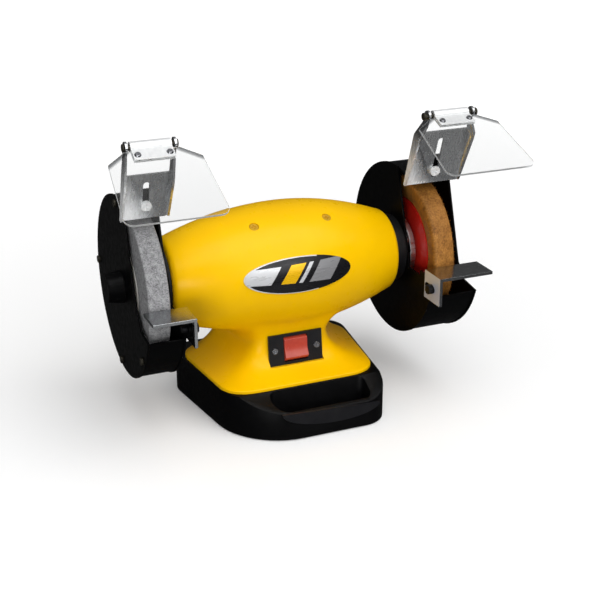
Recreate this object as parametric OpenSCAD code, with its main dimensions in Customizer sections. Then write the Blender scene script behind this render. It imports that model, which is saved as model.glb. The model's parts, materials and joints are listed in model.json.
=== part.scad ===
// Two-wheel bench grinder: grinding wheel on the left, wire wheel on the right.
// Millimetres. X runs along the shaft, -Y is the front, Z is up.
// The origin is the centre of the four bench bolts, on the bench surface.

/* [Shaft and wheels] */
// Height of the shaft above the bench
shaft_h = 144; // [142:1:152]
// Distance between the middles of the two wheels
wheel_span = 288; // [270:2:310]
// Diameter of the grinding wheel and of the wire wheel
wheel_d = 150; // [140:1:160]
// Width of the grinding wheel, and of the hub of the wire wheel
wheel_w = 20; // [17:1:21]
// Diameter of the arbor that carries the wheels
arbor_d = 12.7; // [12:0.1:13]
// Diameter of the painted side plates of the wire wheel
wire_plate_d = 100; // [92:1:104]
// Width of the wire wheel at its rim
wire_rim_w = 24; // [20:1:25]
// Rows of wire strands across the wheel
wire_rows = 5; // [4:1:5]
// Wire strands around the wheel
wire_columns = 72; // [66:1:72]

/* [Housing] */
// Largest diameter of the motor housing
barrel_mid_d = 125; // [123:1:128]
// Diameter of the motor housing near its ends
barrel_end_d = 84; // [82:1:90]
// Distance from each end of the motor housing to the middle of its wheel
housing_gap = 31; // [29:0.5:33]
// Width of the pedestal behind the switch
neck_front_w = 72; // [66:1:78]
// Width of the pedestal at its back
neck_back_w = 110; // [104:1:116]
// Wall of the housing
wall = 3; // [2.5:0.1:3.5]

/* [Base] */
// Height of the black base
base_h = 42; // [40:1:44]
// Width of the base at its front
base_front_w = 152; // [150:1:158]
// Width of the base at its back
base_back_w = 194; // [190:1:198]
// Reach of the base in front of the shaft
base_front = 96; // [93:1:98]
// Reach of the base behind the shaft
base_back = 76; // [74:1:80]
// Spacing of the bench bolts across
bolt_span_x = 116; // [108:1:118]
// Spacing of the bench bolts front to back
bolt_span_y = 112; // [108:1:114]
// Diameter of the holes for the bench bolts
bolt_hole_d = 6.8; // [6.4:0.1:7]

/* [Guards] */
// Distance from the rim of the wheels to the outer edge of the guards
guard_gap = 12; // [11.5:0.5:14]
// Width of the left guard
left_guard_w = 36; // [35:1:40]
// Width of the right guard
right_guard_w = 52; // [50:1:56]

/* [Brackets and eye shields] */
// Forward lean of the shield brackets in degrees
bracket_lean = 18; // [14:1:20]
// Width of the left bracket plate
left_bracket_w = 45; // [44:1:52]
// Width of the right bracket plate
right_bracket_w = 60; // [52:1:64]
// Width of the eye shields
shield_w = 90; // [80:1:100]
// Length of the eye shields
shield_len = 88; // [75:1:95]
// Downward tilt of the left eye shield in degrees
left_shield_tilt = 29; // [15:1:35]
// Downward tilt of the right eye shield in degrees
right_shield_tilt = 22; // [15:1:35]

/* [Tool rests] */
// Width of the left tool rest
left_rest_w = 40; // [38:1:50]
// Width of the right tool rest
right_rest_w = 57; // [50:1:60]
// Depth of the tool rests, front to back
rest_depth = 30; // [28:1:36]

/* [Hidden] */
$fn = 64;
LEFT = -1;
RIGHT = 1;
sides = [LEFT, RIGHT];
seat = 0.04;
wheel_x = wheel_span / 2;
wheel_r = wheel_d / 2;
arbor_r = arbor_d / 2;
wheel_in = wheel_x - wheel_w / 2;
wheel_out = wheel_x + wheel_w / 2;
flange_r = 33;
flange_t = 1.8;
blotter_r = 41;
blotter_t = 0.5;
nut_in = wheel_out + blotter_t + flange_t + 0.1;
nut_h = 9;
shaft_end = nut_in + nut_h + 1.5;

// motor housing
mid_r = barrel_mid_d / 2;
end_r = barrel_end_d / 2;
half_len = wheel_x - housing_gap;
left_len = half_len + 7;
end_round = 7;
stator_r = 55;
stator_half = half_len - 73;
fan_x = half_len - 53;
bell_in = half_len - 27;
bearing_x = half_len - 21;
shaft_step = bell_in - 2;
arbor_in = wheel_in - 6;
bell_r = 32;
badge_x = -4;
badge_z = shaft_h + 10;
badge_half_w = 54;
badge_half_h = 17;
housing_screw_x = 37;
housing_screw_turn = 30;
wire_x = stator_half + 4;
wire_y = 20;

// pedestal, described at its foot and at its neck
foot_front_w = base_front_w + 2;
foot_back_w = base_back_w - 12;
foot_front = 66;
foot_back = base_back - 15;
neck_front = 34.5;
neck_back = 46;
foot_rim = 3;
neck_top = shaft_h - mid_r + 16;
neck_rise = 15;
slices = 12;
corner_steps = 6;

// base
skirt_z = 1;
base_corner_r = 26;
base_left_r = 66;
base_left_cut = 4;
plate_z = 3;
plate_t = 2;
tray_slope_z = 27;
tray_x0 = -40;
tray_x1 = 60;
tray_y0 = -base_front + 4;
tray_y1 = -foot_front - 2;
tray_floor = 13;
gland_x = 48;
gland_z = 21;

// switch
switch_x = 1;
switch_y = -37;
switch_z = base_h + foot_rim + 0.457 * (neck_top - base_h - foot_rim);
switch_lean = -7;
switch_w = 56;
switch_h = 31;
rocker_half_w = 12;
rocker_r = 12.4;
rocker_in = 3;
rocker_tilt = 8;

// guards
sheet = 2;
guard_r = wheel_r + guard_gap;
band_r = guard_r - 1;
guard_in = wheel_x - 21;
mouth_top = 64;
mouth_low = -18;
plate_mouth = [[-0.039, 1.15], [-0.438, -0.1034], [-1.5, -0.1034], [-1.5, 1.15]];
cover_mouth = [[-0.138, 1.15], [-0.54, -0.08], [-0.69, -0.247], [-1.5, -0.36], [-1.5, 1.15]];
cover_screw_r = guard_r - 6.4;
cover_screw_turns = [92, 180, 262, 322];
guard_screw_r = 29.5;
dish_r = 16;
dish_top_r = 13.5;
dish_depth = 15;

// brackets, in a frame that leans with the plate
lip_y = -band_r * cos(mouth_top) - 0.5;
lip_z = shaft_h + band_r * sin(mouth_top) + 0.2;
lip_len = 29;
lip_half = 14;
left_bracket_len = 46;
right_bracket_len = 57;
right_ear_x = 24;
bracket_t = 2;
flange_low = 3;
flange_depth = 11;
slot_low = 6.5;
slot_top = 8;
slot_half = 2.9;
bracket_screw_z = 14;
hinge_up = 78.8;
hinge_fwd = 6.3;
ear_r = 5.4;
rod_r = 2.5;
hinge_y = lip_y - hinge_up * sin(bracket_lean) - hinge_fwd * cos(bracket_lean);
hinge_z = lip_z + hinge_up * cos(bracket_lean) - hinge_fwd * sin(bracket_lean);

// eye shields
shield_t = 2;
shield_top_half = 24;
shield_shoulder = 13;
shield_taper = 4;
shield_gap = 6;
clip_half = 18;
clip_reach = 17;
rivet_x = 14;
rivet_y = -12;

// tool rests
rest_t = 3;
rest_back = -wheel_r - 2.5;
rest_front = rest_back - rest_depth;
rest_top = shaft_h + 3;
rest_drop = 28;
knob_y = -wheel_r - 17;
knob_z = shaft_h - 12;
stud_r = 3;

// helpers

module on_side(s) {
    if (s < 0) mirror([1, 0, 0]) children();
    else children();
}

// a flat shape drawn in Y and Z, given a thickness along X
module along_x(x0, len) {
    translate([x0, 0, 0]) rotate([90, 0, 90]) linear_extrude(len) children();
}

module disc_x(x0, len, r) {
    translate([x0, 0, 0]) rotate([0, 90, 0]) cylinder(h = len, r = r);
}

module on_shaft() {
    translate([0, 0, shaft_h]) children();
}

module ring_x(x0, len, r_out, r_in) {
    difference() {
        disc_x(x0, len, r_out);
        disc_x(x0 - 1, len + 2, r_in);
    }
}

// an eight-sided wire from a to b, a little longer at both ends
module rod(a, b, r) {
    d = b - a;
    span = norm(d) + 2 * r;
    translate(a - d * r / norm(d))
        rotate([0, acos(d[2] / norm(d)), atan2(d[1], d[0])])
            cylinder(h = span, r = r, $fn = 8);
}

module pan_screw(head_r, head_h, shank_r, shank_len) {
    difference() {
        cylinder(h = head_h, r = head_r, $fn = 32);
        for (turn = [0, 90])
            rotate([0, 0, turn])
                translate([-head_r * 0.6, -0.5, head_h - 1]) cube([head_r * 1.2, 1, 2]);
    }
    translate([0, 0, -shank_len]) cylinder(h = shank_len + 0.1, r = shank_r, $fn = 32);
}

function unit(v) = v / norm(v);

// points of one rounded corner at p, between its neighbours a and b
function corner(a, p, b, r) =
    let (u = unit(a - p), v = unit(b - p), half = acos(u * v) / 2)
    let (c = p + unit(u + v) * r / sin(half))
    let (p0 = p + u * r / tan(half) - c, p1 = p + v * r / tan(half) - c)
    let (a0 = atan2(p0[1], p0[0]), a1 = atan2(p1[1], p1[0]))
    let (turn = ((a1 - a0 + 540) % 360) - 180)
    [for (i = [0:corner_steps]) c + r * [cos(a0 + turn * i / corner_steps), sin(a0 + turn * i / corner_steps)]];

// rounded four-sided outline: half widths at the front and back, and the front and back edges
function outline(wf, wb, yf, yb, r) = four_sided([[-wf, yf], [wf, yf], [wb, yb], [-wb, yb]], [r, r, r, r]);

function four_sided(p, r) = [for (i = [0:3]) each corner(p[(i + 3) % 4], p[i], p[(i + 1) % 4], r[i])];

// outline of the base pulled in by inset, its front left corner rounder than the others
function base_outline(inset) =
    let (wf = base_front_w / 2 - inset, wb = base_back_w / 2 - inset, r = base_corner_r - inset)
    let (yf = -base_front + inset, yb = base_back - inset)
    four_sided([[-wf + base_left_cut, yf], [wf, yf], [wb, yb], [-wb, yb]], [base_left_r - inset, r, r, r]);

function mix(a, b, k) = a + (b - a) * k;

// pedestal outline at height z, pulled in by inset
function pedestal_at(z, inset) =
    let (t = min(1, max(0, (z - base_h - foot_rim) / (neck_top - base_h - foot_rim))))
    let (toe = pow(1 - t, 6), side = pow(1 - t, 2.6))
    outline(
        mix(neck_front_w / 2, foot_front_w / 2, pow(1 - t, 4)) - inset,
        mix(neck_back_w / 2, foot_back_w / 2, side) - inset,
        -mix(neck_front, foot_front, toe) + inset,
        mix(neck_back, foot_back, side) - inset,
        mix(11, 26, side) - inset / 2);

// solid lofted through the pedestal outlines
module pedestal(z0, inset) {
    ring = 4 * (corner_steps + 1);
    heights = [for (i = [0:slices]) i == 0 ? z0 : i == slices ? neck_top + neck_rise : base_h + foot_rim
        + (neck_top - base_h - foot_rim) * pow((i - 1) / (slices - 2), 1.6)];
    points = [for (z = heights) for (p = pedestal_at(z, inset)) [p[0], p[1], z]];
    last = slices * ring;
    polyhedron(points, concat(
        [[for (k = [0:ring - 1]) k]],
        [[for (k = [0:ring - 1]) last + ring - 1 - k]],
        [for (i = [0:slices - 1]) for (k = [0:ring - 1])
            let (a = i * ring + k, b = i * ring + (k + 1) % ring)
            each [[a, a + ring, b + ring], [a, b + ring, b]]]));
}

function barrel_end(s) = s < 0 ? left_len : half_len;
function bulge(x) = mid_r - (mid_r - end_r) * pow(x / (barrel_end(x) - end_round), 2);

// profile of the barrel as radius against length, grown by out
function barrel_profile(out) =
    let (x0 = left_len - end_round, x1 = half_len - end_round)
    concat(
        [for (a = [90:-30:30]) [end_r - end_round * (1 - cos(a)) + out, -x0 - end_round * sin(a)]],
        [for (i = [-12:12]) let (x = i / 12 * (i < 0 ? x0 : x1)) [bulge(x) + out, x]],
        [for (a = [30:30:90]) [end_r - end_round * (1 - cos(a)) + out, x1 + end_round * sin(a)]]);

module turned(points) {
    on_shaft() rotate([0, 90, 0]) rotate_extrude() polygon(points);
}

module barrel_solid() {
    turned(concat([[0, -left_len]], barrel_profile(0), [[0, half_len]]));
}

module barrel_hollow() {
    x1 = half_len - end_round;
    steps = [for (i = [0:6]) stator_half + 2 + (x1 - stator_half - 2) * i / 6];
    turned(concat(
        [[0, -left_len - 1], [bell_r, -left_len - 1], [bell_r, -x1]],
        [for (i = [6:-1:0]) [bulge(-steps[i]) - wall - 1.5, -steps[i]]],
        [[stator_r, -stator_half - 1], [stator_r, stator_half + 1]],
        [for (x = steps) [bulge(x) - wall - 1.5, x]],
        [[bell_r, x1], [bell_r, half_len + 1], [0, half_len + 1]]));
}

module at_housing_screws() {
    for (s = sides)
        on_shaft()
            rotate([housing_screw_turn, 0, 0])
                translate([s * housing_screw_x, 0, bulge(s * housing_screw_x)]) children();
}

module in_switch() {
    translate([switch_x, switch_y, switch_z]) rotate([switch_lean, 0, 0]) children();
}

module box_mid(x, y0, y1, z) {
    translate([-x / 2, y0, -z / 2]) cube([x, y1 - y0, z]);
}

// base

module plinth() {
    wide = base_back_w;
    deep = base_front + base_back;
    plate_top = plate_z + plate_t + seat;
    color([0.05, 0.05, 0.055]) {
        difference() {
            translate([0, 0, skirt_z]) linear_extrude(base_h - skirt_z)
                polygon(base_outline(0));
            // sloped front
            along_x(-wide / 2, wide)
                polygon([[-foot_front - 1, base_h], [-base_front, tray_slope_z],
                    [-base_front - 9, tray_slope_z], [-base_front - 9, base_h + 9], [-foot_front - 1, base_h + 9]]);
            // parts tray
            intersection() {
                translate([tray_x0, tray_y0 - 1, tray_floor])
                    cube([tray_x1 - tray_x0, tray_y1 - tray_y0 + 1, base_h]);
                linear_extrude(2 * base_h) polygon(base_outline(4));
            }
            // hollow behind the tray, open above into the pedestal
            intersection() {
                translate([-wide / 2, tray_y1 + 3, -2]) cube([wide, deep, base_h]);
                translate([0, 0, -1]) linear_extrude(base_h - 3) polygon(base_outline(5));
            }
            linear_extrude(base_h + 9)
                polygon(outline(foot_front_w / 2 - 20, foot_back_w / 2 - 20, tray_y1 + 12, foot_back - 14, 10));
            // hollow under the tray, and the recess of the bottom plate
            translate([0, 0, -1]) linear_extrude(tray_floor - 2) polygon(base_outline(8));
            translate([0, 0, -1]) linear_extrude(plate_top + 1) polygon(base_outline(4.5));
            translate([gland_x, base_back - 9, gland_z]) rotate([-90, 0, 0]) cylinder(h = 20, r = 8.05);
        }
        at_plate_screws() translate([0, 0, plate_top]) difference() {
            cylinder(h = ($plate_screw_front ? tray_floor - 1 : base_h - 2) - plate_top, r = 5);
            translate([0, 0, -1]) cylinder(h = 7, r = 1.7);
        }
    }
}

module at_corners(dx, dy) {
    for (x = [-dx, dx])
        for (y = [-dy, dy])
            translate([x, y, 0]) children();
}

module at_plate_screws() {
    for ($plate_screw_front = [false, true])
        for (s = sides)
            translate([s * 40, $plate_screw_front ? -base_front + 16 : base_back - 16, 0]) children();
}

module bottom_plate() {
    color([0.55, 0.56, 0.58]) difference() {
        translate([0, 0, plate_z]) linear_extrude(plate_t)
            polygon(base_outline(5));
        at_corners(bolt_span_x / 2, bolt_span_y / 2) cylinder(h = 20, r = bolt_hole_d / 2);
        at_plate_screws() cylinder(h = 20, r = 1.7);
    }
}

module rubber_feet() {
    color([0.03, 0.03, 0.03])
        at_corners(bolt_span_x / 2, bolt_span_y / 2)
            difference() {
                cylinder(h = plate_z, r1 = 9, r2 = 10);
                translate([0, 0, -1]) cylinder(h = 20, r = bolt_hole_d / 2);
            }
}

module plate_screws() {
    color([0.7, 0.7, 0.72])
        at_plate_screws()
            translate([0, 0, plate_z]) rotate([180, 0, 0]) pan_screw(3.2, 1.8, 1.6, 7);
}

module cord_gland() {
    color([0.08, 0.08, 0.085])
        translate([gland_x, base_back, gland_z]) rotate([-90, 0, 0]) difference() {
            union() {
                translate([0, 0, -6]) cylinder(h = 8, r = 8);
                cylinder(h = 4, r = 10.5, $fn = 6);
                translate([0, 0, 4]) cylinder(h = 8, r1 = 8.5, r2 = 7.5);
            }
            translate([0, 0, -9]) cylinder(h = 30, r = 4);
        }
}

// housing

module housing() {
    color([1, 0.78, 0]) difference() {
        union() {
            barrel_solid();
            pedestal(base_h, 0);
            in_switch() box_mid(switch_w + 3, 0, 9, switch_h + 3);
        }
        barrel_hollow();
        difference() {
            pedestal(base_h - 1, wall);
            translate([-100, -100, shaft_h - stator_r - 4]) cube([200, 200, 60]);
            in_switch() box_mid(switch_w + 3, 0, wall + 1, switch_h + 3);
        }
        in_switch() {
            box_mid(switch_w + 0.1, -30, 0, switch_h + 0.1);
            box_mid(29, -1, 30, 29);
            for (s = sides)
                translate([s * 22, 0, 0]) rotate([-90, 0, 0]) cylinder(h = wall + 3, r = 1.6);
        }
        translate([wire_x, wire_y, base_h]) cylinder(h = shaft_h - base_h - 30, r = 4.5);
        at_housing_screws() {
            translate([0, 0, -3]) cylinder(h = 9, r = 4.6);
            translate([0, 0, -12]) cylinder(h = 20, r = 2);
        }
    }
}

module housing_screws() {
    color([0.6, 0.6, 0.62])
        at_housing_screws() translate([0, 0, -3]) pan_screw(4.2, 2.4, 1.95, 6);
}

module badge_plate() {
    x1 = badge_half_w + 8;
    xs = [for (i = [-10:10]) x1 * i / 10];
    color([0.75, 0.76, 0.78]) intersection() {
        turned(concat(
            [for (x = xs) [bulge(x + badge_x) + 0.9, x + badge_x]],
            [for (i = [20:-1:0]) [bulge(xs[i] + badge_x) + 0.05, xs[i] + badge_x]]));
        translate([badge_x, -20, badge_z]) rotate([90, 0, 0]) linear_extrude(60)
            polygon([for (i = [0:47]) [badge_half_w * cos(i * 7.5), badge_half_h * sin(i * 7.5)]]);
    }
}

module end_bells() {
    color([0.07, 0.07, 0.075])
        for (s = sides)
            on_side(s) on_shaft() difference() {
                union() {
                    disc_x(bell_in, barrel_end(s) - bell_in + 1, bell_r - seat);
                    disc_x(barrel_end(s) + seat, 2.5, bell_r + 4);
                    disc_x(barrel_end(s) + seat, guard_in - barrel_end(s) - 2 * seat, bell_r + 2);
                }
                disc_x(bell_in - 6, bearing_x - bell_in + 17.5, 17.5 + seat);
                disc_x(bell_in - 6, 80, 10);
                for (i = [0:2])
                    rotate([60 + i * 120, 0, 0])
                        translate([0, 0, guard_screw_r]) disc_x(guard_in - 9, 20, 1.8);
                for (i = [0:2])
                    rotate([i * 120, 0, 0]) translate([0, 0, 25]) disc_x(bell_in - 6, 14, 1.8);
            }
}

module bell_screws() {
    color([0.6, 0.6, 0.62])
        for (s = sides)
            on_side(s) on_shaft()
                for (i = [0:2])
                    rotate([i * 120, 0, 0])
                        translate([bell_in, 0, 25]) rotate([0, -90, 0]) pan_screw(3, 2, 1.75, 7);
}

// motor

module stator_core() {
    slots = 18;
    color([0.35, 0.35, 0.37]) on_shaft() difference() {
        along_x(-stator_half, 2 * stator_half) difference() {
            circle(stator_r - seat);
            circle(31);
            for (i = [0:slots - 1])
                rotate(i * 360 / slots) translate([33, -2.6]) square([13, 5.2]);
            for (i = [0:slots - 1])
                rotate(i * 360 / slots) translate([30, -1]) square([5, 2]);
        }
        translate([0, 0, -shaft_h]) at_housing_screws() translate([0, 0, -12]) cylinder(h = 12, r = 2);
    }
}

module stator_windings() {
    color([0.72, 0.36, 0.14]) on_shaft()
        for (s = sides)
            on_side(s) rotate([0, 90, 0]) rotate_extrude()
                polygon([[35, stator_half + seat], [46, stator_half + seat], [49, stator_half + 4],
                    [48, stator_half + 11], [44, stator_half + 14], [38, stator_half + 14],
                    [35, stator_half + 11], [34.2, stator_half + 4]]);
}

module rotor_core() {
    color([0.4, 0.4, 0.42]) on_shaft() difference() {
        disc_x(-stator_half, 2 * stator_half, 30.4);
        disc_x(-stator_half - 1, 2 * stator_half + 2, 9 + seat);
    }
}

module rotor_rings() {
    color([0.78, 0.79, 0.8]) on_shaft()
        for (s = sides)
            on_side(s) ring_x(stator_half + seat, 7, 28.5, 18);
}

module cooling_fan() {
    blades = 10;
    color([0.15, 0.15, 0.16]) on_shaft() {
        ring_x(fan_x, 12, 14, 9 + seat);
        ring_x(fan_x, 2, 36, 9 + seat);
        for (i = [0:blades - 1])
            rotate([i * 360 / blades, 0, 0])
                translate([fan_x + 1, -0.9, 13]) cube([10, 1.8, 23]);
    }
}

module shaft() {
    color([0.72, 0.73, 0.75]) on_shaft() {
        disc_x(-shaft_step, 2 * shaft_step, 9);
        for (s = sides)
            on_side(s) {
                disc_x(shaft_step - 1, arbor_in - shaft_step + 1, 7.5);
                disc_x(arbor_in - 1, shaft_end - arbor_in + 1, arbor_r);
                translate([shaft_end, 0, 0]) rotate([0, 90, 0])
                    cylinder(h = 1.5, r1 = arbor_r, r2 = arbor_r - 1.5);
            }
    }
}

module outer_races() {
    color([0.7, 0.71, 0.73]) on_shaft()
        for (s = sides)
            on_side(s) ring_x(bearing_x, 11, 17.5, 14.5);
}

module inner_races() {
    color([0.7, 0.71, 0.73]) on_shaft()
        for (s = sides)
            on_side(s) ring_x(bearing_x, 11, 10 - seat, 7.5 + seat / 2);
}

module ball_cages() {
    balls = 8;
    color([0.8, 0.8, 0.82]) on_shaft()
        for (s = sides)
            on_side(s) {
                ring_x(bearing_x + 4.5, 2, 12.6, 11.4);
                for (i = [0:balls - 1])
                    rotate([i * 360 / balls, 0, 0]) translate([bearing_x + 5.5, 0, 12]) sphere(r = 1.95, $fn = 24);
            }
}

module preload_washer() {
    color([0.6, 0.6, 0.62]) on_shaft() ring_x(bearing_x - 0.9, 0.85, 17.3, 14.8);
}

module capacitor() {
    color([0.82, 0.83, 0.84]) translate([0, 40, plate_z + plate_t + 14.5]) {
        disc_x(-28, 52, 12.5);
        disc_x(24, 3, 11.5);
        for (y = [-5, 5])
            translate([27, y - 0.5, -3]) cube([6, 1, 6]);
    }
}

module capacitor_clip() {
    color([0.5, 0.51, 0.53]) translate([-8, 40, plate_z + plate_t]) {
        translate([0, 0, 14.5]) ring_x(0, 12, 14, 12.5 + seat);
        translate([0, -14, seat]) cube([12, 28, 1.6]);
    }
}

module terminal_block() {
    color([0.88, 0.86, 0.78]) translate([-24, -6, plate_z + plate_t + seat]) difference() {
        cube([48, 16, 15]);
        for (i = [0:3])
            translate([6 + i * 12, 8, 7]) cylinder(h = 20, r = 2.6, $fn = 24);
    }
}

module wire(path) {
    for (i = [1:len(path) - 1])
        rod(path[i - 1], path[i], 1.2);
}

module lead_wires() {
    top = shaft_h - sqrt(49 * 49 - wire_y * wire_y) - 1.6;
    color([0.1, 0.2, 0.55])
        for (i = [0, 1]) {
            wire([[i * 12 - 6, 2, 14], [i * 12 - 6, 2, 26], [wire_x + i * 3 - 1.5, wire_y, 74],
                [wire_x + i * 3 - 1.5, wire_y, top]]);
            wire([[i * 36 - 18, 2, 14], [i * 36 - 18, 2, 26],
                [switch_x + i * 12 - 6, switch_y + 23, switch_z - 11.6]]);
        }
}

// switch

module switch_frame() {
    color([0.06, 0.06, 0.065]) in_switch() difference() {
        box_mid(switch_w, -2.5, -seat, switch_h);
        box_mid(2 * rocker_half_w + 0.7, -9, 9, 25.6);
        for (s = sides)
            translate([s * 22, 0, 0]) rotate([-90, 0, 0]) translate([0, 0, -9]) cylinder(h = 20, r = 1.6);
    }
}

module switch_body() {
    color([0.1, 0.1, 0.105]) in_switch() difference() {
        union() {
            box_mid(28.8, 0, 20, 28.8);
            for (x = [-6, 6])
                translate([x - 3, 20, -7]) cube([6, 6, 1]);
        }
        translate([0, rocker_in, 0])
            disc_x(-rocker_half_w - 0.35, 2 * rocker_half_w + 0.7, rocker_r + 0.4);
        box_mid(2 * rocker_half_w + 0.7, -1, rocker_in, 25.6);
        translate([0, rocker_in, 0]) disc_x(-20, 40, 1.56);
    }
}

module switch_screws() {
    color([0.85, 0.85, 0.87]) in_switch()
        for (s = sides)
            translate([s * 22, -2.5, 0]) rotate([90, 0, 0]) pan_screw(3, 1.6, 1.55, 6);
}

module rocker() {
    color([0.85, 0.2, 0.13]) in_switch() translate([0, rocker_in, 0]) {
        along_x(-rocker_half_w, 2 * rocker_half_w) intersection() {
            circle(rocker_r);
            rotate(-rocker_tilt)
                polygon([[6, -14], [6, 14], [-9.4, 14], [-6.6, 0], [-9.4, -14]]);
        }
        disc_x(-rocker_half_w - 1.8, 2 * rocker_half_w + 3.6, 1.5);
    }
}

// guards

module guard_outline(mouth) {
    difference() {
        circle(guard_r);
        polygon(guard_r * mouth);
    }
}

module in_bracket() {
    translate([wheel_x, lip_y, lip_z]) rotate([bracket_lean, 0, 0]) children();
}

module at_cover_screws() {
    for (turn = cover_screw_turns)
        rotate([180 - turn, 0, 0]) translate([0, cover_screw_r, 0]) children();
}

module guard(w) {
    band_x = guard_in + sheet;
    band_len = w - 2 * sheet - seat;
    on_shaft() difference() {
        union() {
            along_x(guard_in, sheet) {
                guard_outline(plate_mouth);
                translate([knob_y, knob_z - shaft_h]) circle(8);
                translate([knob_y, knob_z - shaft_h - 8]) square([30, 16]);
            }
            along_x(band_x - 0.5, band_len + 0.5) difference() {
                circle(band_r);
                circle(band_r - sheet);
                polygon([[0, 0], 300 * [-cos(mouth_top), sin(mouth_top)], [-400, 200],
                    300 * [-cos(mouth_low), sin(mouth_low)]]);
            }
            at_cover_screws() disc_x(band_x - 0.5, band_len + 0.5, 4.2);
            translate([0, 0, -shaft_h]) in_bracket() difference() {
                translate([-lip_half, seat, -1.5]) cube([2 * lip_half, sheet, lip_len + 1.5]);
                translate([0, -9, bracket_screw_z]) rotate([-90, 0, 0]) cylinder(h = 20, r = 2.6);
            }
        }
        disc_x(guard_in - 9, 20, 14);
        at_cover_screws() disc_x(band_x + 6, 90, 1.8);
        translate([0, knob_y, knob_z - shaft_h]) disc_x(guard_in - 9, 20, stud_r + 0.06);
        for (i = [0:2])
            rotate([60 + i * 120, 0, 0])
                translate([0, 0, guard_screw_r]) disc_x(guard_in - 9, 20, 1.8);
    }
}

module guard_left() {
    color([0.04, 0.04, 0.045]) on_side(LEFT) guard(left_guard_w);
}

module guard_right() {
    color([0.04, 0.04, 0.045]) guard(right_guard_w);
}

module cover(w) {
    on_shaft() difference() {
        along_x(guard_in + w - sheet, sheet) guard_outline(cover_mouth);
        at_cover_screws() disc_x(guard_in, 90, 1.8);
        children();
    }
}

module cover_left() {
    x = guard_in + left_guard_w;
    color([0.04, 0.04, 0.045]) on_side(LEFT) {
        cover(left_guard_w) disc_x(guard_in, 90, dish_r - sheet);
        on_shaft() rotate([0, 90, 0]) rotate_extrude()
            polygon([[dish_r - sheet, x - sheet], [dish_r, x - sheet], [dish_top_r, x + dish_depth],
                [0, x + dish_depth], [0, x + dish_depth - sheet], [dish_top_r - 1.6, x + dish_depth - sheet]]);
    }
}

module cover_right() {
    color([0.04, 0.04, 0.045]) cover(right_guard_w);
}

module guard_screws() {
    color([0.6, 0.6, 0.62])
        for (s = sides)
            on_side(s) on_shaft()
                for (i = [0:2])
                    rotate([60 + i * 120, 0, 0])
                        translate([guard_in + sheet, 0, guard_screw_r]) rotate([0, 90, 0])
                            pan_screw(3.4, 2.2, 1.75, 9);
}

module cover_screws() {
    color([0.6, 0.6, 0.62]) {
        on_side(LEFT) on_shaft() at_cover_screws()
            translate([guard_in + left_guard_w, 0, 0]) rotate([0, 90, 0]) pan_screw(3.6, 2.2, 1.75, 9);
        on_shaft() at_cover_screws()
            translate([guard_in + right_guard_w, 0, 0]) rotate([0, 90, 0]) pan_screw(3.6, 2.2, 1.75, 9);
    }
}

// wheels

module grinding_wheel() {
    chamfer = 1;
    color([0.55, 0.55, 0.56]) on_side(LEFT) on_shaft() rotate([0, 90, 0]) rotate_extrude()
        polygon([[arbor_r + seat / 2, wheel_in], [wheel_r - chamfer, wheel_in], [wheel_r, wheel_in + chamfer],
            [wheel_r, wheel_out - chamfer], [wheel_r - chamfer, wheel_out], [arbor_r + seat / 2, wheel_out]]);
}

module paper_blotters() {
    color([0.85, 0.84, 0.8]) on_side(LEFT) on_shaft() {
        ring_x(wheel_in - blotter_t, blotter_t - seat / 2, blotter_r, arbor_r + seat);
        ring_x(wheel_out + seat / 2, blotter_t, blotter_r, arbor_r + seat);
    }
}

module wheel_flanges() {
    color([0.72, 0.73, 0.74])
        for (s = sides)
            on_side(s) on_shaft() {
                ring_x(arbor_in + seat, wheel_in - arbor_in - blotter_t - 2 * seat, flange_r, arbor_r + seat / 2);
                ring_x(wheel_out + blotter_t + seat, flange_t, flange_r, arbor_r + seat / 2);
            }
}

module arbor_nuts() {
    color([0.65, 0.66, 0.68])
        for (s = sides)
            on_side(s) on_shaft() difference() {
                translate([nut_in, 0, 0]) rotate([0, 90, 0]) cylinder(h = nut_h, r = 11, $fn = 6);
                disc_x(wheel_out, 40, arbor_r + seat / 2);
            }
}

module wire_hub() {
    color([0.6, 0.61, 0.63]) on_shaft()
        ring_x(wheel_in - 0.5 + seat, wheel_w + 1 - 2 * seat, 24, arbor_r + seat / 2);
}

module wire_plates() {
    color([0.6, 0.08, 0.06]) on_shaft()
        for (s = sides)
            translate([wheel_x, 0, 0]) on_side(s) ring_x(5.2, 1.8, wire_plate_d / 2, 24 + seat);
}

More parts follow.
